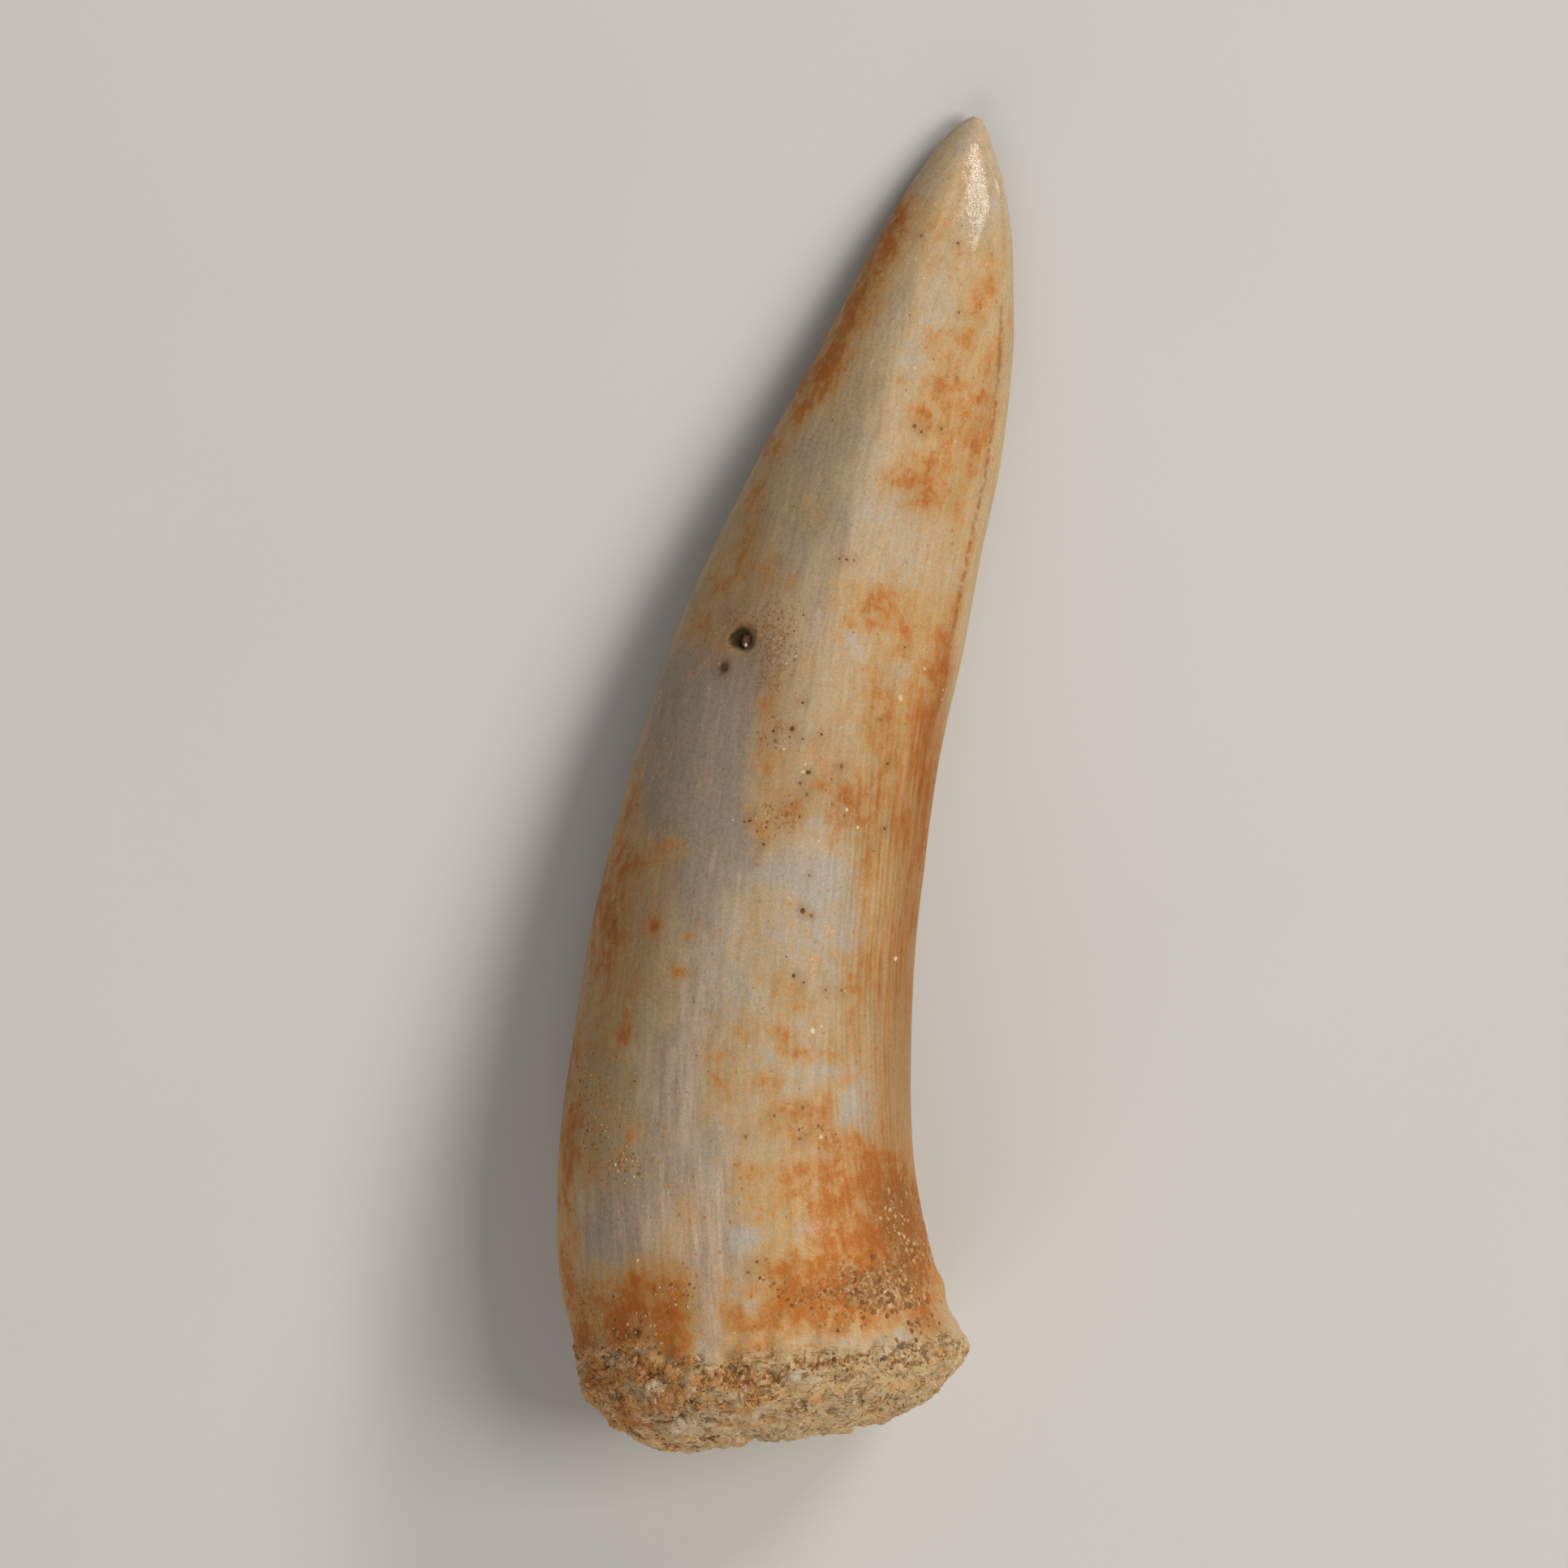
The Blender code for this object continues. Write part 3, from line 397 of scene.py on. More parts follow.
# The round pit left of the ridge, with a dark bead of matrix in it and a gap at the bead's upper left.
PIT_PIXEL = (916, 787)
PIT_GAP_PIXEL = (906, 781)
PIT_RADIUS = 0.43
PIT_DEPTH = 0.24
# The bead, and a pale grain on it that is a painted glint: pixels right of the pit's middle and below it,
# radius in mm, tone, flatness, and how deep it sits.
BEAD = (
    (3, 2, 0.26, 0.16, 0.8, 0.2),
    (4, 9, 0.075, 0.95, 1.0, -1.0),
)

# Colours, as linear red, green and blue.
IVORY = (0.56, 0.43, 0.265)
IVORY_WARM = (0.58, 0.41, 0.225)
WARM_TAN = (0.56, 0.345, 0.135)
TAN = (0.49, 0.255, 0.08)
GREY_LILAC = (0.385, 0.305, 0.23)
OLIVE_GREY = (0.45, 0.335, 0.185)
CHALK_AND_PAINTED_LIGHT = (0.5, 0.435, 0.355)
PALE_VIOLET_HIGHLIGHT = (0.66, 0.485, 0.35)
PALE_ORANGE = (0.58, 0.345, 0.135)
ORANGE = (0.6, 0.27, 0.07)
RUST = (0.48, 0.135, 0.014)
BROWN_SOIL_AND_SHADOW = (0.25, 0.11, 0.035)
DEEP_TINT = (0.68, 0.54, 0.42)
BONE_PALE = (0.7, 0.49, 0.25)
BONE_ORANGE = (0.72, 0.365, 0.12)
BONE_LIGHT = (0.74, 0.6, 0.4)
BONE_GREY = (0.58, 0.47, 0.34)
BONE_PAINTED_SHADE = (0.12, 0.06, 0.025)
KEEL_PALE = (0.5, 0.345, 0.175)
KEEL_BROWN = (0.34, 0.11, 0.028)
PIT_PAINTED_SHADE = (0.035, 0.022, 0.008)
HALO_BROWN = (0.36, 0.17, 0.045)
FLOOR_COLOUR = (0.74, 0.725, 0.70)
# A grain's colour at each tone.
GRAIN_TONES = (
    (0.0, (0.035, 0.02, 0.01)),
    (0.2, (0.17, 0.07, 0.022)),
    (0.4, (0.38, 0.17, 0.052)),
    (0.6, (0.58, 0.33, 0.13)),
    (0.8, (0.7, 0.5, 0.27)),
    (1.0, (0.82, 0.7, 0.5)),
)

# Softboxes: direction towards the photograph's right, its top and the camera, distance and side in m, power
# in W, and colour. The tip reflects the last one.
LIGHTS = (
    ("key", (0.62, 0, 0.82), 0.5, 0.24, 1.1, (1.0, 0.96, 0.9)),
    ("fill", (-0.25, -0.85, 0.65), 0.6, 0.4, 0.88, (1.0, 0.93, 0.84)),
    ("sparkle", (0.59, 0.59, 0.56), 0.5, 0.13, 0.82, (1.0, 0.98, 0.95)),
)
SURROUNDINGS_COLOUR = (0.95, 0.97, 1.0)
SURROUNDINGS_STRENGTH = 0.16


def ramp(value, start, end):
    """0 at start, 1 at end, smooth between them; start may be the larger."""
    share = np.clip((value - start) / (end - start), 0.0, 1.0)
    return share * share * (3 - 2 * share)


def sections(along):
    """The station values at each distance along the spine, one row each, on a smooth curve through them."""
    table = np.array(STATIONS)
    last = len(table) - 1
    place = np.clip(np.searchsorted(table[:, ALONG], along, side="right") - 1, 0, last - 1)
    near, far = table[place], table[place + 1]
    before, after = table[np.maximum(place - 1, 0)], table[np.minimum(place + 2, last)]
    span = (far - near)[:, ALONG, None]
    t = (along - near[:, ALONG])[:, None] / span
    slope_in = (far - before) / (far - before)[:, ALONG, None] * span
    slope_out = (after - near) / (after - near)[:, ALONG, None] * span
    return (
        (2 * t**3 - 3 * t**2 + 1) * near
        + (t**3 - 2 * t**2 + t) * slope_in
        + (3 * t**2 - 2 * t**3) * far
        + (t**3 - t**2) * slope_out
    )


def rounded(value, full):
    """A superellipse's version of a sine or a cosine."""
    return np.sign(value) * np.abs(value) ** (2 / full)


def outline(along, angle):
    """(across, height above the keel) of the plain section, 0 degrees at the keel and 90 at the ridge."""
    section = sections(along)
    cos, sin = np.cos(np.radians(angle)), np.sin(np.radians(angle))
    crown = ramp(along, CROWN_FROM, CROWN_FULL)
    full = {
        quarter: SHAFT_FULLNESS[quarter] * (1 - crown) + CROWN_FULLNESS[quarter] * crown
        for quarter in SHAFT_FULLNESS
    }
    tip = ramp(along, TIP_ROUND_FROM, TIP_ROUND_FULL)
    full["upper_right"] = full["upper_right"] * (1 - tip) + TIP_FULLNESS * tip
    right, upper = cos >= 0, sin >= 0
    shape = np.where(
        upper,
        np.where(right, full["upper_right"], full["upper_left"]),
        np.where(right, full["under_right"], full["under_left"]),
    )
    reach = np.where(right, section[:, RIGHT] - section[:, RIDGE], section[:, LEFT] + section[:, RIDGE])
    across = section[:, RIDGE] + reach * rounded(cos, shape)
    height = rounded(sin, shape) * np.where(upper, section[:, TOP], section[:, UNDER])
    return across, height


def bent(along, across, height):
    """Points of the straight tooth, bent round the spine's arc."""
    heading = along / SPINE_RADIUS - SPINE_HALF_ANGLE
    radius = SPINE_RADIUS - across
    return np.stack(
        (ARC_CENTRE_X - radius * np.cos(heading), ARC_CENTRE_Y + radius * np.sin(heading), height), axis=-1
    )


def unbent(x, y):
    """(along, across) of a place in the plan, the reverse of bent."""
    towards = np.hypot(ARC_CENTRE_X - x, y - ARC_CENTRE_Y)
    heading = np.arctan2(y - ARC_CENTRE_Y, ARC_CENTRE_X - x)
    return (heading + SPINE_HALF_ANGLE) * SPINE_RADIUS, SPINE_RADIUS - towards


def plan_of_pixel(x, y):
    """Where a pixel of the photograph falls in the plan, in mm."""
    foot_x = ARC_CENTRE_X - SPINE_RADIUS * math.cos(SPINE_HALF_ANGLE)
    foot_y = ARC_CENTRE_Y - SPINE_RADIUS * math.sin(SPINE_HALF_ANGLE)
    right = (x - SPINE_FOOT_PIXEL[0]) / PIXELS_PER_MM
    up = (SPINE_FOOT_PIXEL[1] - y) / PIXELS_PER_MM
    cos, sin = math.cos(PHOTO_LEAN), math.sin(PHOTO_LEAN)
    return foot_x + right * cos - up * sin, foot_y + right * sin + up * cos


def spread(low, high, count, crowding):
    """count places from low to high, closer together where crowding is larger."""
    fine_steps = 6001
    fine = np.linspace(low, high, fine_steps)
    share = np.concatenate(([0.0], np.cumsum(crowding(fine)[:-1])))
    return np.interp(np.linspace(0, share[-1], count), share, fine)


def fractal(points, grain, octaves, seed):
    """Fractal noise about 0 at each of the points; grain is the width of its broadest lumps in mm."""
    shift = Vector((seed * 17.3, seed * 7.1, seed * 3.7))
    scaled = points / grain
    return np.array([noise.fractal(Vector(p) + shift, 0.8, 2.1, octaves) for p in scaled])


def cell_edges(points, grain, seed):
    """How near each point is to the middle of its noise cell: 0 at the middle, rising outwards."""
    shift = Vector((seed * 11.9, seed * 5.3, seed * 2.9))
    scaled = points / grain
    return np.array([noise.voronoi(Vector(p) + shift)[0][0] for p in scaled])


def ring_places():
    """(along, scale, sink) of each ring, from the middle of the end face over its edge to the tip."""
    rings = []
    for i in range(1, END_FACE_RINGS + 1):
        share = i / END_FACE_RINGS
        rings.append((0.0, END_FACE_SCALE * share, DISH_DEPTH * (1 - share**2)))
    for i in range(1, EDGE_RINGS):
        turn = math.pi / 2 * i / EDGE_RINGS
        along = BASE_EDGE * (1 - rounded(math.cos(turn), BASE_EDGE_FULLNESS))
        widening = rounded(math.sin(turn), BASE_EDGE_FULLNESS)
        rings.append((along, END_FACE_SCALE + (1 - END_FACE_SCALE) * widening, 0.0))
    crowded_base = 1.3
    crowded_tip = 0.7
    crowded_pit = 0.6
    pit_along = unbent(*plan_of_pixel(*PIT_PIXEL))[0]

    def crowding(along):
        base = crowded_base * ramp(along, 6.0, 3.5)
        tip = crowded_tip * ramp(along, 36.0, 40.5)
        return 1 + base + tip + crowded_pit * np.exp(-(((along - pit_along) / 0.6) ** 2))

    for along in spread(BASE_EDGE, SPINE_LENGTH, RINGS, crowding):
        rings.append((along, 1.0, 0.0))
    return np.array(rings)


def round_angles():
    """The columns' angles: closest on the fluted flank and the keel, wide apart underneath."""
    crowded_upper = 1.2
    crowded_flank = 2.6
    pit_angle, pit_reach = 122, 8

    def crowding(angle):
        upper = crowded_upper * ramp(angle, -25, -8) * ramp(angle, 205, 180)
        flank = crowded_flank * ramp(angle, -10, -4) * ramp(angle, 66, 52)
        pit = np.exp(-(((angle - pit_angle) / pit_reach) ** 2))
        return 1 + upper + flank + pit

    return spread(FIRST_ANGLE, FIRST_ANGLE + 360, COLUMNS + 1, crowding)[:-1]


def base_relief(along, angle, places):
    """How far the rough bone stands out, with the lumps and notches that the solid has too."""
    rough = ramp(along, ROUGH_FADED, ROUGH_UNTIL)
    shaped = np.array([noise.fractal(Vector(p) / ROUGH_GRAIN, 0.8, 2.2, 2) for p in places])
    relief = rough * ROUGH_HEIGHT * shaped
    across, height = outline(along, angle)
    for lump_along, lump_angle, radius, lump in BASE_LUMPS:
        lump_across, lump_height = outline(np.array([float(lump_along)]), np.array([float(lump_angle)]))
        distance = (along - lump_along) ** 2 + (across - lump_across) ** 2 + (height - lump_height) ** 2
        relief += lump * np.exp(-distance / radius**2)
    return relief


def grid_normals(grid):
    """Outward unit normals of a grid of rings, from the differences between neighbours."""
    around = np.roll(grid, -1, axis=1) - np.roll(grid, 1, axis=1)
    forward = np.gradient(grid, axis=0)
    normal = np.cross(forward, around)
    return normal / np.maximum(np.linalg.norm(normal, axis=-1, keepdims=True), 1e-9)


class Surface:
    """The fang's fine surface: a grid of rings and columns, with its fields as flat arrays."""

    def __init__(self):
        rings = ring_places()
        angles = round_angles()
        self.shape = (len(rings), len(angles))
        self.along, self.scale, self.sink = (np.repeat(column, len(angles)) for column in rings.T)
        self.angle = np.tile(angles, len(rings))
        self.form()
        self.read_zones()
        self.add_relief()

    def form(self):
        """The solid's own shape, at this mesh's finer spacing."""
        along, scale, sink = self.along, self.scale, self.sink
        section = sections(along)
        across, height = outline(along, self.angle)
        middle_across = (section[:, RIGHT] - section[:, LEFT]) / 2
        middle_height = (section[:, TOP] - section[:, UNDER]) / 2
        out = np.stack((across - middle_across, height - middle_height), axis=-1)
        out /= np.maximum(np.linalg.norm(out, axis=-1, keepdims=True), 1e-9)
        inset = section[:, RIGHT] - across
        keel = ramp(along, KEEL_FROM, KEEL_FULL) * ramp(along, KEEL_UNTIL, KEEL_UNTIL - 1)
        groove = keel * KEEL_GROOVE_DEPTH * np.exp(-(((inset - KEEL_WIDTH) / KEEL_GROOVE_WIDTH) ** 2))
        line = np.exp(-(((inset - KEEL_WIDTH) / KEEL_LINE_WIDTH) ** 2))
        self.keel = keel * ramp(inset, KEEL_WIDTH + 0.05, KEEL_WIDTH - 0.12)
        self.keel_line = keel * line * ramp(along, KEEL_LINE_UNTIL, KEEL_LINE_FADES)
        height = height - np.sign(height) * np.minimum(groove, np.abs(height))
        places = np.stack((across * scale, along + sink, height * scale), axis=-1)
        relief = np.zeros_like(along)
        low = along < ROUGH_FADED + 2
        relief[low] = base_relief(along[low], self.angle[low], places[low])
        across = middle_across + (across - middle_across) * scale + out[:, 0] * relief
        height = middle_height + (height - middle_height) * scale + out[:, 1] * relief
        lean = END_LEAN * (height - section[:, TOP] / 2) * ramp(along, END_LEAN_UNTIL, 0)
        reach = along + sink - lean - relief * (1 - scale)
        self.straight = np.stack((across, reach, height), axis=-1)
        self.points = bent(reach, across, height + section[:, UNDER] + section[:, RISE])
        self.normals = grid_normals(self.points.reshape(*self.shape, 3)).reshape(-1, 3)

    def spot_distance(self, x, y, wide, long):
        """Each vertex's squared distance from a spot of the photograph, in shares of the spot's reach."""
        spot_along, spot_across = unbent(*plan_of_pixel(x, y))
        across_share = (self.straight[:, 0] - spot_across) * PIXELS_PER_MM / wide
        along_share = (self.straight[:, 1] - spot_along) * PIXELS_PER_MM / long
        return across_share**2 + along_share**2

    def zone(self, spots):
        """Overlapping soft spots on the side that the photograph shows: 0 outside them, up to 1 inside."""
        clear = np.ones_like(self.along)
        for *place, strength in spots:
            clear *= 1 - strength * np.exp(-0.5 * self.spot_distance(*place))
        return (1 - clear) * self.facing

    def read_zones(self):
        """Where each stain, mineral zone and patch of painted light and shade lies, from the photograph above
        and made up underneath.
        """
        across = self.straight[:, 0]
        self.facing = ramp(self.normals[:, 2], -0.35, 0.1)
        below = 1 - self.facing
        broad = fractal(self.straight * (1, 0.45, 1), 3.1, 4, 5)
        patch = fractal(self.straight * (1, 0.6, 1), 1.7, 4, 9)
        self.lilac = self.zone(LILAC) + below * ramp(patch, 0.1, 0.8) * 0.8
        self.pale = self.zone(PALE) + below * ramp(-patch, 0.4, 1.0) * 0.6
        self.violet_highlight = self.zone(VIOLET_HIGHLIGHT)
        clean = (1 - 0.45 * self.lilac) * (1 - 0.45 * self.pale) * (1 - 0.5 * self.violet_highlight)
        self.iron = self.zone(IRON) * clean + below * ramp(broad, 0.0, 0.9) * 0.8
        self.warm = self.zone(WARM) + below * ramp(broad + patch, -0.6, 0.8) * 0.8
        self.olive = self.zone(OLIVE) + below * ramp(patch - broad, 0.3, 1.2) * 0.6
        self.deep = self.zone(DEEP) + below * 0.5
        self.polish = self.zone(POLISH)
        self.soil_and_shadow = self.zone(SOIL_AND_SHADOW) + below * ramp(-broad, 0.5, 1.1) * 0.6
        self.halo = self.zone(
            (x, y, HALO_REACH, HALO_REACH, min(1, radius * HALO_PER_MM)) for x, y, radius in DARK_SPECKS
        )
        left_rise = 0.5 * ramp(across, -3.2, -5.4) * self.facing
        border = BONE_BORDER + left_rise + 0.3 * ramp(across, 2.0, -1.0)
        border += BONE_BORDER_WAVE * fractal(self.straight, BONE_BORDER_GRAIN, 3, 2)
        self.bone = ramp(self.straight[:, 1], border + 0.45, border - 0.15)

    def add_relief(self):
        """Striae, unevenness, pores and the pit, raised or sunk along the surface's normal, with painted
        shade where the bone sinks, in the crevices and in the pit.
        """
        smooth = 1 - self.bone
        uneven = UNEVEN_HEIGHT * fractal(self.straight * (1, 0.6, 1), UNEVEN_GRAIN, 2, 3)
        ripple = RIPPLE_HEIGHT * fractal(self.straight * (1, 0.5, 1), RIPPLE_GRAIN, 3, 4)
        tip_fade = ramp(self.along, SPINE_LENGTH, 38.0)
        relief = (uneven + ripple) * tip_fade * ramp(self.scale, 0.9, 1.0)
        self.stria = self.stria_field()
        relief -= STRIA_DEPTH * self.stria * smooth
        relief += self.swelling_field()
        self.hollow_shade = np.zeros_like(relief)
        rough = np.flatnonzero(self.bone > 0.01)
        places = self.straight[rough]
        lumps = fractal(places * (0.8, 1.2, 1), BONE_LUMP_GRAIN, 4, 6)
        fibres = fractal(places * (0.6, 2.2, 1.2), BONE_FIBRE_GRAIN, 3, 7)
        pores = ramp(cell_edges(places * (0.75, 1.3, 1), BONE_PORE_GRAIN, 8), 0.42, 0.1)
        pores *= ramp(fractal(places, 1.2, 2, 10), -0.35, 0.25)
        cracks = ramp(np.abs(fractal(places * (0.6, 1.4, 1), BONE_CRACK_GRAIN, 3, 21)), 0.13, 0.02)
        cracks *= ramp(fractal(places, 0.9, 2, 22), -0.1, 0.35)
        bone_relief = BONE_LUMP_HEIGHT * lumps + BONE_FIBRE_HEIGHT * fibres
        bone_relief -= BONE_PORE_DEPTH * pores + BONE_CRACK_DEPTH * cracks
        relief[rough] += self.bone[rough] * (bone_relief + BONE_RISE)
        crevice = 4 * self.bone * (1 - self.bone) * ramp(self.straight[:, 0], -4.5, -2.5) * self.facing
        relief -= BONE_CREVICE * crevice
        # Painted shade where the bone's relief sinks.
        self.hollow_shade[rough] = self.bone[rough] * np.clip(-bone_relief / BONE_DARK_DEPTH, 0, 1)
        relief += self.soil_and_shadow * smooth * GRIT_HEIGHT * fractal(self.straight, GRIT_GRAIN, 2, 11)
        relief -= self.pit_field() + self.hollow_field()
        self.points = self.points + self.normals * relief[:, None]
        self.points[:, 2] = np.maximum(self.points[:, 2], 0.0)

    def stria_field(self):
        """Fine grooves that run with the length, strongest low on the right flank: 1 at a groove's bottom."""
        grid = self.points.reshape(*self.shape, 3)
        step = np.linalg.norm(np.diff(grid, axis=1), axis=-1)
        girth = np.concatenate((np.zeros((self.shape[0], 1)), np.cumsum(step, axis=1)), axis=1)
        keel_column = int(np.argmin(np.abs(round_angles())))
        girth = (girth - girth[:, keel_column : keel_column + 1]).reshape(-1)
        wander = fractal(np.stack((girth * 1.4, self.along * 0.12, 0 * girth), axis=-1), 1.0, 3, 12)
        wave = 0.5 - 0.5 * np.cos(2 * np.pi * (girth / STRIA_PITCH + 0.55 * wander))
        strands = np.stack((girth * 2.5, self.along * 0.3, 0 * girth), axis=-1)
        strength = 0.55 + 0.45 * fractal(strands, 1.0, 2, 13)
        flank = ramp(girth, 0.15, 0.8) * ramp(girth, 6.4, 4.2)
        stretch = ramp(self.along, 5.0, 8.0) * ramp(self.along, 28.0, 19.0)
        fluted = flank * stretch
        self.flank = fluted * ramp(self.along, 8.0, 11.0) * ramp(girth, 4.4, 2.8)
        faint = FAINT_STRIA * ramp(girth, 0.2, 1.0) * ramp(girth, 13.5, 11.0)
        faint *= ramp(self.along, 3.0, 5.0) * ramp(self.along, 38.0, 34.5)
        return wave * np.clip(strength, 0.1, 1.2) * np.maximum(fluted, faint)

    def swelling_field(self):
        """The larger unevenness that the photograph shows, in mm."""
        swelling = np.zeros_like(self.along)
        for *place, height in SWELLINGS:
            swelling += height * np.exp(-0.5 * self.spot_distance(*place))
        return swelling * ramp(self.normals[:, 2], 0.15, 0.55)

    def hollow_field(self):
        """Depth of the single crevices and holes, which also get painted shade."""
        depth = np.zeros_like(self.along)
        for x, y, wide, long, deepest in HOLLOWS:
            distance = self.spot_distance(x, y, wide * HOLLOW_WIDENING, long * HOLLOW_WIDENING)
            share = np.exp(-(distance**1.5)) * self.facing
            depth = np.maximum(depth, deepest * share)
            self.hollow_shade = np.maximum(self.hollow_shade, share * 0.95)
        return depth

    def pit_field(self):
        """Depth of the round pit, with painted shade darkest in the gap beside its bead."""
        across, along = self.straight[:, 0], self.straight[:, 1]
        pit_along, pit_across = unbent(*plan_of_pixel(*PIT_PIXEL))
        gap_along, gap_across = unbent(*plan_of_pixel(*PIT_GAP_PIXEL))
        uneven = 1 + 0.3 * fractal(self.straight, 0.5, 2, 14)
        distance = np.hypot(along - pit_along, across - pit_across) / PIT_RADIUS * uneven
        from_gap = np.hypot(along - gap_along, across - gap_across) / PIT_RADIUS * uneven
        dark = ramp(distance, 1.15, 0.85) * ramp(from_gap, 1.2, 0.6) * self.facing
        self.hollow_shade = np.maximum(self.hollow_shade, dark)
        return PIT_DEPTH * ramp(distance, 1.1, 0.45) * self.facing


def mesh_of(surface):
    """The grid as a mesh: rings joined by quads, closed by a fan at each end."""
    count_rings, count = surface.shape
    points = [tuple(p) for p in surface.points * MM]
    ends = surface.points.reshape(count_rings, count, 3)[[0, -1]].mean(axis=1) * MM
    first_end, last_end = len(points), len(points) + 1
    points += [tuple(end) for end in ends]
    faces = []
    for ring in range(count_rings - 1):
        low = ring * count
        for i in range(count):
            j = (i + 1) % count
            faces.append((low + j, low + i, low + count + i, low + count + j))
    top = (count_rings - 1) * count
    for i in range(count):
        j = (i + 1) % count
        faces.append((i, j, first_end))
        faces.append((top + j, top + i, last_end))
    mesh = bpy.data.meshes.new("enchodus_fang")
    mesh.from_pydata(points, [], faces)
    mesh.update()
    mesh.shade_smooth()
    return mesh


def store(mesh, name, values, ends):
    """A number at each vertex, for the material. ends are the values at the two fans' middles."""
    attribute = mesh.attributes.new(name, "FLOAT", "POINT")
    attribute.data.foreach_set("value", np.concatenate((values, ends)).astype(np.float32))


def store_vector(mesh, name, values):
    """A vector at each vertex, for the material."""
    attribute = mesh.attributes.new(name, "FLOAT_VECTOR", "POINT")
    attribute.data.foreach_set("vector", values.astype(np.float32).ravel())


def fang_object():
    """The fang's surface as an object, with every field that the materials read."""
    surface = Surface()
    mesh = mesh_of(surface)
    count = surface.shape[1]
    for name in FIELDS:
        values = getattr(surface, name)
        store(mesh, name, values, (values[:count].mean(), values[-count:].mean()))
    ends = np.stack((surface.straight[:count].mean(axis=0), surface.straight[-count:].mean(axis=0)))
    store_vector(mesh, "straight", np.concatenate((surface.straight, ends)))
    fang = bpy.data.objects.new("fang_surface", mesh)
    bpy.context.scene.collection.objects.link(fang)
    return fang


class Nodes:
    """Short ways to add and join the nodes of one material."""

    def __init__(self, name):
        self.material = bpy.data.materials.new(name)
        self.material.use_nodes = True
        self.tree = self.material.node_tree
        self.shader = self.tree.nodes["Principled BSDF"]

    def add(self, kind, **settings):
        node = self.tree.nodes.new(kind)
        for name, value in settings.items():
            setattr(node, name, value)
        return node

    def put(self, value, socket):
        """A socket's link, or its own value where value is a number or a colour."""
        if isinstance(value, bpy.types.NodeSocket):
            self.tree.links.new(value, socket)
        elif isinstance(value, tuple) and len(value) == 3 and socket.type == "RGBA":
            socket.default_value = (*value, 1.0)
        else:
            socket.default_value = value

    def attribute(self, name, part="Fac"):
        return self.add("ShaderNodeAttribute", attribute_name=name).outputs[part]

    def math(self, operation, *values, clamp=False):
        node = self.add("ShaderNodeMath", operation=operation, use_clamp=clamp)
        for value, socket in zip(values, node.inputs):
            self.put(value, socket)
        return node.outputs[0]

    def times(self, first, second):
        return self.math("MULTIPLY", first, second)

    def plus(self, first, second, clamp=False):
        return self.math("ADD", first, second, clamp=clamp)

    def minus(self, first, second):
        return self.math("SUBTRACT", first, second)

    def scaled(self, vector, factors):
        node = self.add("ShaderNodeVectorMath", operation="MULTIPLY")
        self.put(vector, node.inputs[0])
        node.inputs[1].default_value = factors
        return node.outputs[0]

    def noise(self, vector, scale, detail, rough, distortion=0.0):
        node = self.add("ShaderNodeTexNoise")
        self.put(vector, node.inputs["Vector"])
        node.inputs["Scale"].default_value = scale
        node.inputs["Detail"].default_value = detail
        node.inputs["Roughness"].default_value = rough
        node.inputs["Lacunarity"].default_value = 2.0
        node.inputs["Distortion"].default_value = distortion
        return node.outputs["Fac"]

    def cells(self, vector, scale):
        """The distance from the middle of the nearest of many scattered cells."""
        node = self.add("ShaderNodeTexVoronoi")
        self.put(vector, node.inputs["Vector"])
        node.inputs["Scale"].default_value = scale
        node.inputs["Randomness"].default_value = 1.0
        return node.outputs["Distance"]

    def step(self, value, low, high, to_low=0.0, to_high=1.0):
        """A smooth step of value from low to high."""
        node = self.add("ShaderNodeMapRange", interpolation_type="SMOOTHSTEP")
        self.put(value, node.inputs["Value"])
        node.inputs["From Min"].default_value = low
        node.inputs["From Max"].default_value = high
        node.inputs["To Min"].default_value = to_low
        node.inputs["To Max"].default_value = to_high
        return node.outputs["Result"]

    def mix(self, share, first, second, blend="MIX"):
        """The first colour turned into the second by a share. The node's sockets for numbers, vectors and
        colours have the same names, so those for colours are picked by their place."""
        colour_a, colour_b, colour_out = 6, 7, 2
        node = self.add("ShaderNodeMix", data_type="RGBA", blend_type=blend)
        self.put(share, node.inputs[0])
        self.put(first, node.inputs[colour_a])
        self.put(second, node.inputs[colour_b])
        return node.outputs[colour_out]

    def bump(self, height, distance, normal=None):
        """Relief in the shading only: a height in shares of a distance in m, laid over another normal."""
        node = self.add("ShaderNodeBump")
        node.inputs["Distance"].default_value = distance
        node.inputs["Strength"].default_value = 1.0
        self.put(height, node.inputs["Height"])
        if normal is not None:
            self.put(normal, node.inputs["Normal"])
        return node.outputs["Normal"]

    def masked(self, field, grain, amount, low, high):
        """A field broken up by a noise about 0.5, then cut to a soft-edged mask."""
        lift = self.times(self.minus(grain, 0.5), amount)
        return self.step(self.plus(field, lift), low, high)

    def stained(self, colour, tint, field, grain, amount, low, high, most=1.0):
        """The colour turned to a tint inside a broken-up field, by most of the way at the most."""
        return self.mix(self.times(self.masked(field, grain, amount, low, high), most), colour, tint)


